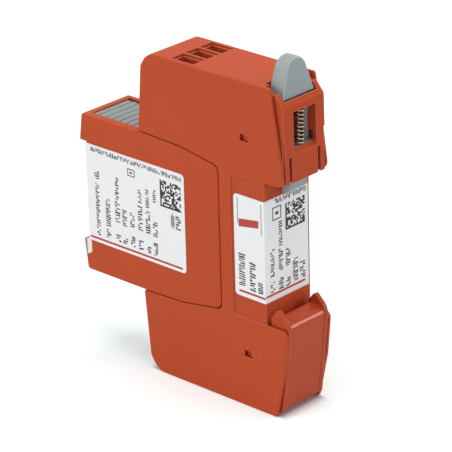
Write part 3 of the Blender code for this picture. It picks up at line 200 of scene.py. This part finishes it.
def box_into(mesh, x0, x1, y0, y1, z0, z1):
    """Adds a closed box, in millimetres from the rail seat."""
    corners = [(x, y, z) for x in (x0, x1) for y in (y0, y1) for z in (z0, z1)]
    verts = [mesh.verts.new(((SEAT + x) * MM, y * MM, z * MM)) for x, y, z in corners]
    for loop in ((0, 1, 3, 2), (4, 6, 7, 5), (0, 4, 5, 1), (2, 3, 7, 6), (0, 2, 6, 4), (1, 5, 7, 3)):
        mesh.faces.new([verts[index] for index in loop])


# The lighter grey on bands of the tab's rim is a painted highlight.
foot_rim_highlight = moulding("foot_rim_painted_highlight", paint(178, 184, 186), grey_rim_highlight, 0.36, rim=0.00016, gloss=0.35)
foot_mesh = bmesh.new()
rings = []
rounds = [(1 - cos(turn * pi / 12), 1 - sin(turn * pi / 12)) for turn in range(7)]
for (face, lean), sign in ((TAB_REAR, -1), (TAB_FRONT, 1)):
    for depth, inset in rounds if sign < 0 else reversed(rounds):
        ring = []
        for y, z in tab_ring(inset * TAB_RIM):
            x = face + lean * (z - TAB_FOOT) / (TAB_TOP - TAB_FOOT) + sign * depth * TAB_RIM
            ring.append(foot_mesh.verts.new(((SEAT + x) * MM, y * MM, z * MM)))
        rings.append(ring)
for band, (low, high) in enumerate(zip(rings, rings[1:])):
    for index in range(len(low)):
        after = (index + 1) % len(low)
        strip = foot_mesh.faces.new((low[index], low[after], high[after], high[index]))
        strip.material_index = 1 if band in HIGHLIGHT_BANDS and index < len(low) - 1 else 0
foot_mesh.faces.new(rings[0])
foot_mesh.faces.new(rings[-1])
box_into(foot_mesh, *SHOULDER)
box_into(foot_mesh, *STEM)
box_into(foot_mesh, *NECK)
near_side = [foot_mesh.verts.new(((SEAT + x) * MM, -LATCH_HALF * MM, z * MM)) for x, z in LATCH]
far_side = [foot_mesh.verts.new(((SEAT + x) * MM, LATCH_HALF * MM, z * MM)) for x, z in LATCH]
foot_mesh.faces.new(near_side)
foot_mesh.faces.new(far_side)
for index in range(len(LATCH)):
    after = (index + 1) % len(LATCH)
    foot_mesh.faces.new((near_side[index], near_side[after], far_side[after], far_side[index]))
bmesh.ops.recalc_face_normals(foot_mesh, faces=foot_mesh.faces)
foot_data = bpy.data.meshes.new("sliding_rail_foot")
foot_mesh.to_mesh(foot_data)
foot_mesh.free()
for face in foot_data.polygons:
    face.use_smooth = True
foot_data.set_sharp_from_angle(angle=0.5)
foot_data.materials.append(foot_grey)
foot_data.materials.append(foot_rim_highlight)
foot_piece = bpy.data.objects.new("sliding_rail_foot", foot_data)
bpy.context.scene.collection.objects.link(foot_piece)
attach(foot_piece, "rail_foot")
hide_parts("rail_foot")


def metal(name, colour, roughness, streak_axis=0, streak=1400, tarnish=0.12):
    """Plated or drawn metal: fine streaks along one axis and a faint tarnish."""
    material, tree, shader = bare_material(name)
    make, link = tree.nodes.new, tree.links.new
    place = make("ShaderNodeTexCoord")
    stretch = make("ShaderNodeMapping")
    scales = [streak, streak, streak]
    scales[streak_axis] = streak * 0.06
    stretch.inputs["Scale"].default_value = scales
    link(place.outputs["Object"], stretch.inputs["Vector"])
    lines = make("ShaderNodeTexNoise")
    lines.inputs["Scale"].default_value = 1.0
    lines.inputs["Detail"].default_value = 2
    link(stretch.outputs["Vector"], lines.inputs["Vector"])
    stain = make("ShaderNodeTexNoise")
    stain.inputs["Scale"].default_value = 350
    stain.inputs["Detail"].default_value = 4
    link(place.outputs["Object"], stain.inputs["Vector"])
    tone = make("ShaderNodeMix")
    tone.data_type = "RGBA"
    tone.inputs["A"].default_value = tuple(value * (1 - tarnish * 2) for value in colour[:3]) + (1,)
    tone.inputs["B"].default_value = tuple(min(1, value * (1 + tarnish)) for value in colour[:3]) + (1,)
    link(stain.outputs["Fac"], tone.inputs["Factor"])
    link(tone.outputs["Result"], shader.inputs["Base Color"])
    relief = make("ShaderNodeBump")
    relief.inputs["Strength"].default_value = 0.12
    relief.inputs["Distance"].default_value = 0.00005
    link(lines.outputs["Fac"], relief.inputs["Height"])
    rounding = make("ShaderNodeBevel")
    rounding.samples = 4
    rounding.inputs["Radius"].default_value = 0.00012
    link(rounding.outputs["Normal"], relief.inputs["Normal"])
    link(relief.outputs["Normal"], shader.inputs["Normal"])
    polish = make("ShaderNodeMapRange")
    polish.inputs["To Min"].default_value = roughness - 0.06
    polish.inputs["To Max"].default_value = roughness + 0.08
    link(lines.outputs["Fac"], polish.inputs["Value"])
    link(polish.outputs["Result"], shader.inputs["Roughness"])
    shader.inputs["Metallic"].default_value = 1.0
    return material


def tree_with(name, sizes):
    """An empty geometry tree with the named inputs of its sizes."""
    tree = bpy.data.node_groups.new(name, "GeometryNodeTree")
    sockets = {}
    for label, kind, value in sizes:
        socket = tree.interface.new_socket(label, in_out="INPUT", socket_type=kind)
        if value is not None:
            socket.default_value = value
        sockets[label] = socket.identifier
    tree.interface.new_socket("Geometry", in_out="OUTPUT", socket_type="NodeSocketGeometry")
    return tree, sockets, tree.nodes.new("NodeGroupInput"), tree.nodes.new("NodeGroupOutput")


def grown(name, tree, sockets, values, body, seed_mesh=None):
    """Runs a geometry tree with the given sizes and keeps its result as a plain mesh on a body."""
    seed_mesh = seed_mesh or bpy.data.meshes.new(name + "_seed")
    holder = bpy.data.objects.new(name + "_seed", seed_mesh)
    bpy.context.scene.collection.objects.link(holder)
    growth = holder.modifiers.new("growth", "NODES")
    growth.node_group = tree
    for label, value in values.items():
        growth[sockets[label]] = value
    bpy.context.view_layer.update()
    graph = bpy.context.evaluated_depsgraph_get()
    mesh = bpy.data.meshes.new_from_object(holder.evaluated_get(graph), depsgraph=graph)
    bpy.data.objects.remove(holder)
    mesh.name = name
    piece = bpy.data.objects.new(name, mesh)
    bpy.context.scene.collection.objects.link(piece)
    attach(piece, body)
    return piece


FLOAT, WHOLE, VECTOR = "NodeSocketFloat", "NodeSocketInt", "NodeSocketVector"
spring_wire = metal("drawn_spring_wire", paint(176, 164, 142), 0.26, streak_axis=2, streak=2600)
wound, wound_sockets, wound_in, wound_out = tree_with("compression_spring", [
    ("Turns", FLOAT, 8.0), ("Coil radius", FLOAT, 0.001), ("Length", FLOAT, 0.01),
    ("Wire radius", FLOAT, 0.0002), ("Foot", VECTOR, (0, 0, 0))])
spiral = wound.nodes.new("GeometryNodeCurveSpiral")
spiral.inputs["Resolution"].default_value = 28
wire = wound.nodes.new("GeometryNodeCurvePrimitiveCircle")
wire.inputs["Resolution"].default_value = 12
sweep = wound.nodes.new("GeometryNodeCurveToMesh")
sweep.inputs["Fill Caps"].default_value = True
stand = wound.nodes.new("GeometryNodeTransform")
keep = wound.nodes.new("GeometryNodeRealizeInstances")
coat = wound.nodes.new("GeometryNodeSetMaterial")
coat.inputs["Material"].default_value = spring_wire
join_up = wound.links.new
join_up(wound_in.outputs["Turns"], spiral.inputs["Rotations"])
join_up(wound_in.outputs["Coil radius"], spiral.inputs["Start Radius"])
join_up(wound_in.outputs["Coil radius"], spiral.inputs["End Radius"])
join_up(wound_in.outputs["Length"], spiral.inputs["Height"])
join_up(wound_in.outputs["Wire radius"], wire.inputs["Radius"])
join_up(spiral.outputs["Curve"], sweep.inputs["Curve"])
join_up(wire.outputs["Curve"], sweep.inputs["Profile Curve"])
join_up(sweep.outputs["Mesh"], stand.inputs["Geometry"])
join_up(wound_in.outputs["Foot"], stand.inputs["Translation"])
join_up(stand.outputs["Geometry"], keep.inputs["Geometry"])
join_up(keep.outputs["Geometry"], coat.inputs["Geometry"])
join_up(coat.outputs["Geometry"], wound_out.inputs["Geometry"])


def wind_spring(node, turns, wire_radius, body):
    """A smooth coil in the place of a spring solid."""
    low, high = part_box(node)
    middle = [(a + b) / 2 for a, b in zip(low, high)]
    coil_radius = (high[0] - low[0]) / 2 - wire_radius
    length = high[2] - low[2] - 2 * wire_radius
    foot = (middle[0], middle[1], low[2] + wire_radius)
    spring = grown(node + "_coil", wound, wound_sockets, {
        "Turns": float(turns), "Coil radius": coil_radius, "Length": length,
        "Wire radius": wire_radius, "Foot": foot}, body)
    for face in spring.data.polygons:
        face.use_smooth = True
    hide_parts(node)
    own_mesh(spring)


wind_spring("foot_spring", 8.5, 0.000225, "base")

# Terminals
# In each block three screws of zinc plated steel stand over stamped lift clamps, which draw a
# conductor up against the end of a tinned copper busbar. Each bar ends in a bronze clip.
zinc = metal("zinc_plated_steel", paint(214, 214, 208), 0.3)
clamp_steel = metal("stamped_clamp_steel", paint(196, 198, 198), 0.34, streak_axis=2)
copper = metal("tinned_copper", paint(214, 166, 128), 0.3, streak_axis=2)
bronze = metal("spring_bronze", paint(206, 168, 108), 0.28)
for block in ("top", "bottom"):
    for pole in ("line", "neutral", "earth"):
        finish_node(f"screw_{block}_{pole}", zinc)
        finish_node(f"clamp_{block}_{pole}", clamp_steel)
for pole in ("line", "neutral", "earth"):
    finish_node(f"busbar_{pole}", copper)
    finish_node(f"contact_clip_{pole}", bronze)
    finish_node(f"plug_blade_{pole}", copper)

# Plug-in module
# The shell is a red moulding open to the far side, closed by a welded cover of the same red.
# Its parting line with the base runs round the whole device.
module_red = moulding("red_module_polyester", red, red_rim_highlight, 0.44)
finish_node("module_shell", module_red)
finish_node("module_cover", module_red)

# Release buttons
# Two ribbed grey bars of polyamide sit in the collar, one above and one below. Pressed
# together, they let the module go, and small wire springs lift them again.
# Its lighter second grey is a painted rim highlight.
button_grey = moulding("grey_button_polyamide", paint(145, 153, 152), paint(178, 185, 186), 0.5,
                       rim=0.00012, grain=0.08, gloss=0.25)
for block in ("top", "bottom"):
    finish_node(f"release_button_{block}", button_grey)
    wind_spring(f"button_spring_{block}", 6.5, 0.00025, "module")

# Status window
# A clear moulded lens at the corner of the front shows the green end of a slider. When a
# disconnector trips, its spring lifts the slider and the window turns red.
LENS_MILKY, LENS_CLEAR = -35.35, -34.95            # where along x the lens turns from one to the other
clear, clear_tree, clear_shader = bare_material("frosted_clear_lens")
clear_place = clear_tree.nodes.new("ShaderNodeTexCoord")
haze = clear_tree.nodes.new("ShaderNodeTexNoise")
haze.inputs["Scale"].default_value = 700
clear_tree.links.new(clear_place.outputs["Object"], haze.inputs["Vector"])
haze_range = clear_tree.nodes.new("ShaderNodeMapRange")
haze_range.inputs["To Min"].default_value = 0.16
haze_range.inputs["To Max"].default_value = 0.3
clear_tree.links.new(haze.outputs["Fac"], haze_range.inputs["Value"])
clear_tree.links.new(haze_range.outputs["Result"], clear_shader.inputs["Roughness"])
clear_depth = clear_tree.nodes.new("ShaderNodeSeparateXYZ")
clear_tree.links.new(clear_place.outputs["Object"], clear_depth.inputs["Vector"])
milky = clear_tree.nodes.new("ShaderNodeMapRange")
milky.inputs["From Min"].default_value = LENS_MILKY * MM
milky.inputs["From Max"].default_value = LENS_CLEAR * MM
clear_tree.links.new(clear_depth.outputs["X"], milky.inputs["Value"])
# Painted light: the lens is painted grey along its front strip as painted shade and near white on its near
# part as a painted highlight.
thickness = clear_tree.nodes.new("ShaderNodeMix")
thickness.data_type = "RGBA"
thickness.inputs["A"].default_value = paint(186, 186, 180)
thickness.inputs["B"].default_value = paint(255, 252, 242)
clear_tree.links.new(milky.outputs["Result"], thickness.inputs["Factor"])
clear_tree.links.new(thickness.outputs["Result"], clear_shader.inputs["Base Color"])
see_through = clear_tree.nodes.new("ShaderNodeMapRange")
see_through.inputs["To Min"].default_value = 0.7
see_through.inputs["To Max"].default_value = 0.15
clear_tree.links.new(milky.outputs["Result"], see_through.inputs["Value"])
clear_tree.links.new(see_through.outputs["Result"], clear_shader.inputs["Transmission Weight"])
clear_shader.inputs["IOR"].default_value = 1.49
finish_node("indicator_lens", clear)
# Its lighter green is a painted rim highlight.
flag_green = moulding("green_flag_plastic", paint(52, 150, 74), paint(110, 190, 120), 0.45)
finish_node("indicator_slider", flag_green)
wind_spring("disconnector_spring", 5.5, 0.0002, "module")

# Inside the module
# Two epoxy coated varistor discs and a ceramic gas discharge tube are soldered to a small
# laminate board, which carries the three tinned blades at the back.
laminate, laminate_tree, laminate_shader = bare_material("green_laminate")
laminate_place = laminate_tree.nodes.new("ShaderNodeTexCoord")
weave = laminate_tree.nodes.new("ShaderNodeTexBrick")
weave.inputs["Scale"].default_value = 160
weave.inputs["Color1"].default_value = paint(38, 96, 58)
weave.inputs["Color2"].default_value = paint(34, 86, 54)
weave.inputs["Mortar"].default_value = paint(96, 142, 92)
weave.inputs["Mortar Size"].default_value = 0.03
swing = laminate_tree.nodes.new("ShaderNodeMapping")
swing.inputs["Rotation"].default_value = (radians(90), 0, 0)
laminate_tree.links.new(laminate_place.outputs["Object"], swing.inputs["Vector"])
laminate_tree.links.new(swing.outputs["Vector"], weave.inputs["Vector"])
laminate_tree.links.new(weave.outputs["Color"], laminate_shader.inputs["Base Color"])
laminate_shader.inputs["Roughness"].default_value = 0.35
finish_node("circuit_board", laminate)
# The lighter second colours of epoxy and ceramic are painted rim highlights.
epoxy = moulding("blue_varistor_epoxy", paint(58, 92, 160), paint(96, 130, 190), 0.32,
                 rim=0.0005, grain=0.15, gloss=0.5)
ceramic = moulding("white_tube_ceramic", paint(222, 216, 204), paint(236, 232, 224), 0.3,
                   rim=0.0003, gloss=0.5)
finish_node("varistor_line", epoxy)
finish_node("varistor_neutral", epoxy)
finish_node("gas_discharge_tube", ceramic)

# Rating labels
# White polyester film is glued into shallow recesses, on the module round its front edge and
# on the base round the rail seat. The print is rows of uneven strokes, random checkers that say
# nothing, plain frames, and rules and fields of colour.


def film(name, colour):
    """Printed polyester film: smooth, slightly grained white."""
    material, tree, shader = bare_material(name)
    make, link = tree.nodes.new, tree.links.new
    place = make("ShaderNodeTexCoord")
    fleck = make("ShaderNodeTexNoise")
    fleck.inputs["Scale"].default_value = 240
    fleck.inputs["Detail"].default_value = 5
    link(place.outputs["Object"], fleck.inputs["Vector"])
    tone = make("ShaderNodeMix")
    tone.data_type = "RGBA"
    tone.inputs["A"].default_value = tuple(value * 0.955 for value in colour[:3]) + (1,)
    tone.inputs["B"].default_value = colour
    link(fleck.outputs["Fac"], tone.inputs["Factor"])
    link(tone.outputs["Result"], shader.inputs["Base Color"])
    relief = make("ShaderNodeBump")
    relief.inputs["Strength"].default_value = 0.03
    relief.inputs["Distance"].default_value = 0.00005
    link(fleck.outputs["Fac"], relief.inputs["Height"])
    link(relief.outputs["Normal"], shader.inputs["Normal"])
    shader.inputs["Roughness"].default_value = 0.38
    shader.inputs["Specular IOR Level"].default_value = 0.35
    return material


white_film = film("white_label_film", paint(248, 248, 250))
ink_red = film("red_print_ink", paint(186, 72, 50))
ink_dark = film("dark_print_ink", paint(40, 42, 46))
ink_grey = film("grey_print_ink", paint(150, 152, 156))
finish_node("module_label", white_film)
finish_node("base_label", white_film)

print_tree, print_sockets, print_in, print_out = tree_with("printed_strokes", [
    ("Points", "NodeSocketGeometry", None), ("Smallest share", FLOAT, 0.7), ("Seed", WHOLE, 5)])
stamp = print_tree.nodes.new("GeometryNodeMeshCube")
strike = print_tree.nodes.new("GeometryNodeInstanceOnPoints")
stroke_size = print_tree.nodes.new("GeometryNodeInputNamedAttribute")
stroke_lean = print_tree.nodes.new("GeometryNodeInputNamedAttribute")
for reader, label in ((stroke_size, "stroke"), (stroke_lean, "lean")):
    reader.data_type = "FLOAT_VECTOR"
    reader.inputs["Name"].default_value = label
uneven = print_tree.nodes.new("FunctionNodeRandomValue")
uneven.data_type = "FLOAT_VECTOR"
uneven.inputs["Max"].default_value = (1, 1, 1)
sway = print_tree.nodes.new("FunctionNodeRandomValue")
sway.data_type = "FLOAT_VECTOR"
sway.inputs["Min"].default_value = (-1, -1, -1)
sway.inputs["Max"].default_value = (1, 1, 1)
sized = print_tree.nodes.new("ShaderNodeVectorMath")
sized.operation = "MULTIPLY"
turned_by = print_tree.nodes.new("ShaderNodeVectorMath")
turned_by.operation = "MULTIPLY"
settle = print_tree.nodes.new("GeometryNodeRealizeInstances")
ink = print_tree.nodes.new("GeometryNodeSetMaterial")
ink.inputs["Material"].default_value = ink_dark
join_up = print_tree.links.new
join_up(print_in.outputs["Points"], strike.inputs["Points"])
join_up(print_in.outputs["Smallest share"], uneven.inputs["Min"])
join_up(print_in.outputs["Seed"], uneven.inputs["Seed"])
join_up(print_in.outputs["Seed"], sway.inputs["Seed"])
join_up(stroke_size.outputs["Attribute"], sized.inputs[0])
join_up(uneven.outputs["Value"], sized.inputs[1])
join_up(stroke_lean.outputs["Attribute"], turned_by.inputs[0])
join_up(sway.outputs["Value"], turned_by.inputs[1])
join_up(stamp.outputs["Mesh"], strike.inputs["Instance"])
join_up(sized.outputs["Vector"], strike.inputs["Scale"])
join_up(turned_by.outputs["Vector"], strike.inputs["Rotation"])
join_up(strike.outputs["Instances"], settle.inputs["Geometry"])
join_up(settle.outputs["Geometry"], ink.inputs["Geometry"])
join_up(ink.outputs["Geometry"], print_out.inputs["Geometry"])
INK = 0.012 * MM                                   # how far the print stands proud of the film
STROKE_THICK, STROKE_GAP = (0.28, 0.5), (0.16, 0.32)
STROKE_SHARES = (1.0, 1.0, 0.72, 0.45)             # of the height of its line
STROKE_LEAN = 0.16
near_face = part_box("module_label")[0][1]
base_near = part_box("base_label")[0][1]
base_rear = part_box("base_label")[1][0]


def near_spot(level):
    """Point, normal and lie of a size on a near face at the given y."""
    return (lambda along, up: Vector(((SEAT + along) * MM, level, up * MM)), Vector((0, -1, 0)),
            lambda wide, tall: (wide * MM, 2 * INK, tall * MM))


on_module, on_base = near_spot(near_face), near_spot(base_near)
front_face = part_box("module_label")[0][0]
on_front = (lambda along, up: Vector((front_face, along * MM, up * MM)), Vector((-1, 0, 0)),
            lambda wide, tall: (2 * INK, wide * MM, tall * MM))
on_seat = (lambda along, up: Vector((base_rear, along * MM, up * MM)), Vector((1, 0, 0)),
           lambda wide, tall: (2 * INK, wide * MM, tall * MM))


def row_up(along, low, high, height, fine=1.0):
    """Strokes of a line of small print that climbs a face: place, width and height in millimetres."""
    up = low
    while up < high:
        thick = dice.uniform(*STROKE_THICK) * fine
        share = dice.choice(STROKE_SHARES)
        shift = (1 - share) * height / 2 * dice.choice((-1, 1))
        yield along + shift, up + thick / 2, height * share, thick, STROKE_LEAN
        up += thick + dice.uniform(*STROKE_GAP) * fine


def row_along(low, high, up, height, fall=0.0, fine=0.85):
    """The same for a line that runs along a face, falling by a share of its length."""
    for middle, place, tall, thick, lean in row_up(0.0, low, high, height, fine):
        yield place, up + middle - fall * (place - low), thick, tall, lean


def checker(left, low, side, cells):
    """A square of small cells, about half of them inked at random."""
    cell = side / cells
    for column in range(cells):
        for line in range(cells):
            rim = column == 0 or line == 0
            if rim or dice.random() < 0.5:
                yield left + (column + 0.5) * cell, low + (line + 0.5) * cell, cell * 1.18, cell * 1.18, 0.0


def strokes_on(name, body, faces):
    """All the dark strokes of one body's print as one mesh."""
    spots, sizes, leans = [], [], []
    for (spot, normal, lie), rows in faces:
        for line in rows:
            for along, up, wide, tall, lean in line:
                spots.append(spot(along, up))
                sizes.extend(lie(wide, tall))
                leans.extend(normal * lean)
    mesh = bpy.data.meshes.new(name + "_points")
    mesh.from_pydata(spots, [], [])
    mesh.attributes.new("stroke", "FLOAT_VECTOR", "POINT").data.foreach_set("vector", sizes)
    mesh.attributes.new("lean", "FLOAT_VECTOR", "POINT").data.foreach_set("vector", leans)
    grown(name, print_tree, print_sockets, {"Smallest share": 0.85, "Seed": 11}, body, mesh)


def fields_on(name, body, material, faces):
    """Flat printed fields of one ink, each an outline on a face, raised by the thickness of the ink."""
    mesh = bmesh.new()
    for (spot, normal, lie), outlines in faces:
        for outline in outlines:
            if len(outline) == 4 and not isinstance(outline[0], tuple):
                a, b, low, high = outline
                outline = ((a, low), (b, low), (b, high), (a, high))
            back = [mesh.verts.new(spot(*point) - normal * INK) for point in outline]
            face = mesh.faces.new(back)
            raised = bmesh.ops.extrude_face_region(mesh, geom=[face])["geom"]
            front = [v for v in raised if isinstance(v, bmesh.types.BMVert)]
            bmesh.ops.translate(mesh, verts=front, vec=normal * 2 * INK)
    bmesh.ops.recalc_face_normals(mesh, faces=mesh.faces)
    data = bpy.data.meshes.new(name)
    mesh.to_mesh(data)
    mesh.free()
    data.materials.append(material)
    piece = bpy.data.objects.new(name, data)
    bpy.context.scene.collection.objects.link(piece)
    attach(piece, body)


def frame_of(left, right, low, high, width=0.26):
    """Four bars that frame a square field."""
    return [(left, right, high - width, high), (left, right, low, low + width),
            (left, left + width, low, high), (right - width, right, low, high)]


dice = Random(17)
module_lines = [
    (-59.3, 33.8, 49.0, 1.5), (-59.3, 50.0, 52.2, 2.0), (-55.5, 34.1, 36.1, 1.9), (-55.5, 37.4, 45.1, 1.8),
    (-51.95, 34.0, 36.1, 2.0), (-51.95, 39.5, 45.4, 1.9), (-51.95, 46.0, 52.2, 1.4), (-49.4, 34.0, 35.7, 1.8),
    (-49.4, 39.1, 43.4, 1.8), (-46.6, 34.0, 36.5, 1.8), (-46.6, 39.6, 43.6, 1.8), (-43.6, 34.0, 36.2, 1.8),
    (-43.6, 39.5, 46.4, 1.8), (-43.6, 47.3, 50.8, 1.3), (-40.8, 33.9, 35.8, 1.8), (-40.8, 39.4, 45.8, 1.8),
    (-40.8, 46.7, 51.9, 1.3), (-38.2, 33.8, 36.9, 1.7), (-38.2, 39.2, 43.2, 1.8), (-38.2, 48.9, 52.4, 1.1),
    (-29.8, 43.4, 47.3, 1.9)]
strokes_on("module_print_strokes", "module", [(on_module, [row_up(*line) for line in module_lines] + [
    row_along(-61.2, -28.7, 58.15, 1.35, 0.008), checker(-36.0, 48.6, 7.4, 16)]),
    (on_front, [row_up(-5.2, 34.4, 47.0, 2.4), row_up(-1.9, 34.4, 42.6, 1.8), row_up(0.7, 34.4, 44.2, 1.8),
                row_up(3.3, 34.4, 39.4, 1.8)])])
fields_on("module_red_fields", "module", ink_red, [
    (on_module, [(-62.6, -28.6, 32.45, 33.05)]),
    (on_front, [(-7.6, 5.6, 32.45, 33.05), (-6.8, -3.6, 50.2, 57.0)])])
fields_on("module_grey_fields", "module", ink_grey, [
    (on_module, [(-32.4, -31.1, 43.9, 47.0), (-31.9, -31.6, 43.2, 43.9), (-31.9, -31.6, 47.0, 47.7)])])
fields_on("module_dark_frame", "module", ink_dark, [
    (on_module, frame_of(-47.7, -45.1, 54.0, 56.1) + [(-46.9, -46.0, 54.8, 55.3)])])
base_lines = [(-7.95, 34.1, 42.9, 2.3), (-4.3, 33.5, 41.5, 2.1), (-1.65, 33.5, 36.6, 1.8)]
seat_lines = [
    (-5.7, 33.4, 36.4, 1.6), (-5.7, 37.8, 45.3, 1.6), (-2.5, 33.4, 36.7, 1.9), (-2.5, 38.6, 44.5, 1.8),
    (-2.5, 45.4, 51.9, 1.4), (0.2, 33.4, 35.7, 1.8), (0.2, 39.0, 43.8, 1.8), (3.0, 33.8, 40.0, 2.1),
    (5.6, 33.7, 38.5, 2.3)]
strokes_on("base_print_strokes", "base", [
    (on_base, [row_up(*line) for line in base_lines]),
    (on_seat, [row_up(*line) for line in seat_lines] + [
        row_along(-4.4, 7.0, 58.1, 1.5), checker(-0.5, 49.0, 7.3, 16)])])
fields_on("base_red_fields", "base", ink_red, [
    (on_base, [((-8.78, 50.29), (-1.95, 51.5), (-1.95, 53.54), (-8.78, 52.48)), (-9.0, 0.0, 32.2, 32.8)]),
    (on_seat, [(-8.2, 6.7, 32.5, 33.1)])])
fields_on("base_dark_fields", "base", ink_dark, [
    (on_base, [(-9.15, -8.97, 51.0, 58.2), (-1.15, -0.97, 49.6, 58.2)]),
    (on_seat, frame_of(-5.4, -2.1, 53.0, 56.6, 0.3) + [(-4.3, -3.2, 54.4, 55.2)])])

# The photograph's light
# The device stands on a white sweep under a broad soft box, with a weaker one at the side and a
# small one low behind, which draws the shine on the rail hook. Only the camera sees the sweep
# lifted to white, and not where the device stands, so its contact shadow stays.
FLOOR_LEVEL = -0.00005                             # a hair below the device
STAND_MIDDLE, STAND_HALF = (11, 0), (23.8, 8.2)    # of the spot that the device covers
floor_mesh = bmesh.new()
bmesh.ops.create_grid(floor_mesh, x_segments=1, y_segments=1, size=6)
floor_data = bpy.data.meshes.new("studio_floor")
floor_mesh.to_mesh(floor_data)
floor_mesh.free()
floor = bpy.data.objects.new("studio_floor", floor_data)
floor.location = (0, 0, FLOOR_LEVEL)
bpy.context.scene.collection.objects.link(floor)
floor_white, floor_tree, floor_shader = bare_material("white_sweep")
floor_shader.inputs["Base Color"].default_value = (0.87, 0.9, 0.9, 1)
floor_shader.inputs["Roughness"].default_value = 0.9
floor_shader.inputs["Specular IOR Level"].default_value = 0.0
floor_place = floor_tree.nodes.new("ShaderNodeTexCoord")
centred = floor_tree.nodes.new("ShaderNodeMapping")
centred.vector_type = "TEXTURE"
centred.inputs["Location"].default_value = (STAND_MIDDLE[0] * MM, STAND_MIDDLE[1] * MM, 0)
centred.inputs["Scale"].default_value = (STAND_HALF[0] * MM, STAND_HALF[1] * MM, 1)
spread = floor_tree.nodes.new("ShaderNodeVectorMath")
spread.operation = "ABSOLUTE"
sides = floor_tree.nodes.new("ShaderNodeSeparateXYZ")
widest = floor_tree.nodes.new("ShaderNodeMath")
widest.operation = "MAXIMUM"
clear_of_foot = floor_tree.nodes.new("ShaderNodeMapRange")
clear_of_foot.inputs["From Min"].default_value = 0.95
clear_of_foot.inputs["From Max"].default_value = 1.04
clear_of_foot.inputs["To Max"].default_value = 0.3
reach_out = floor_tree.nodes.new("ShaderNodeVectorMath")
reach_out.operation = "LENGTH"
far_away = floor_tree.nodes.new("ShaderNodeMapRange")
far_away.inputs["From Min"].default_value = 0.3
far_away.inputs["From Max"].default_value = 1.0
far_away.inputs["To Max"].default_value = 0.8
lift_sum = floor_tree.nodes.new("ShaderNodeMath")
lift_sum.operation = "ADD"
floor_path = floor_tree.nodes.new("ShaderNodeLightPath")
floor_lift = floor_tree.nodes.new("ShaderNodeMath")
floor_lift.operation = "MULTIPLY"
for start, end in (
        (floor_place.outputs["Object"], centred.inputs["Vector"]),
        (centred.outputs["Vector"], spread.inputs[0]),
        (spread.outputs["Vector"], sides.inputs["Vector"]),
        (sides.outputs["X"], widest.inputs[0]),
        (sides.outputs["Y"], widest.inputs[1]),
        (widest.outputs["Value"], clear_of_foot.inputs["Value"]),
        (floor_place.outputs["Object"], reach_out.inputs[0]),
        (reach_out.outputs["Value"], far_away.inputs["Value"]),
        (clear_of_foot.outputs["Result"], lift_sum.inputs[0]),
        (far_away.outputs["Result"], lift_sum.inputs[1]),
        (floor_path.outputs["Is Camera Ray"], floor_lift.inputs[0]),
        (lift_sum.outputs["Value"], floor_lift.inputs[1]),
        (floor_lift.outputs["Value"], floor_shader.inputs["Emission Strength"])):
    floor_tree.links.new(start, end)
floor_shader.inputs["Emission Color"].default_value = (0.86, 1, 1, 1)
floor_data.materials.append(floor_white)

world = bpy.data.worlds.new("studio")
bpy.context.scene.world = world
world.use_nodes = True
sky = world.node_tree
background = sky.nodes["Background"]
path = sky.nodes.new("ShaderNodeLightPath")
seen = sky.nodes.new("ShaderNodeMath")
seen.operation = "MAXIMUM"
sky.links.new(path.outputs["Is Camera Ray"], seen.inputs[0])
mirrored = sky.nodes.new("ShaderNodeMath")
mirrored.operation = "MAXIMUM"
sky.links.new(path.outputs["Is Glossy Ray"], mirrored.inputs[0])
sky.links.new(path.outputs["Is Transmission Ray"], mirrored.inputs[1])
sky.links.new(mirrored.outputs["Value"], seen.inputs[1])
level = sky.nodes.new("ShaderNodeMapRange")
level.inputs["To Min"].default_value = 0.42
level.inputs["To Max"].default_value = 1.0
sky.links.new(seen.outputs["Value"], level.inputs["Value"])
background.inputs["Color"].default_value = (1, 1, 1, 1)
sky.links.new(level.outputs["Result"], background.inputs["Strength"])


def soft_box(name, place, size, power):
    """A square area light that is aimed at the middle of the device."""
    data = bpy.data.lights.new(name, "AREA")
    data.shape = "SQUARE"
    data.size = size
    data.energy = power
    lamp = bpy.data.objects.new(name, data)
    lamp.location = place
    lamp.rotation_euler = (Vector(LIT_POINT) - Vector(place)).to_track_quat("-Z", "Y").to_euler()
    bpy.context.scene.collection.objects.link(lamp)


LIT_POINT = (0, 0, 0.04)
soft_box("overhead_box", (0.1, -0.02, 1.3), 0.9, 8.9)
soft_box("back_box", (0.9, 0.92, 0.56), 0.16, 2.5)
soft_box("side_box", (-0.6, -1.2, 0.6), 0.6, 5.7)

PHOTO_WIDTH = 452                                  # in pixels
FOCAL_PIXELS = 2839.95
CAMERA_PLACE = (0.47032, -0.48896, 0.33659)
azimuth, elevation, roll = radians(43.403), radians(23.495), radians(1.505)
level_right = Vector((cos(azimuth), sin(azimuth), 0))
towards = Vector((sin(azimuth) * cos(elevation), -cos(azimuth) * cos(elevation), sin(elevation)))
level_down = (-towards).cross(level_right)
right = level_right * cos(roll) + level_down * sin(roll)
down = level_down * cos(roll) - level_right * sin(roll)
camera_data = bpy.data.cameras.new("photograph")
camera_data.sensor_width = 36
camera_data.lens = FOCAL_PIXELS * camera_data.sensor_width / PHOTO_WIDTH
camera_data.clip_start = 0.01
camera = bpy.data.objects.new("photograph", camera_data)
turned = Matrix((right, -down, towards)).transposed().to_4x4()
camera.matrix_world = Matrix.Translation(Vector(CAMERA_PLACE)) @ turned
bpy.context.scene.collection.objects.link(camera)
bpy.context.scene.camera = camera
bpy.context.scene.view_settings.view_transform = "Standard"
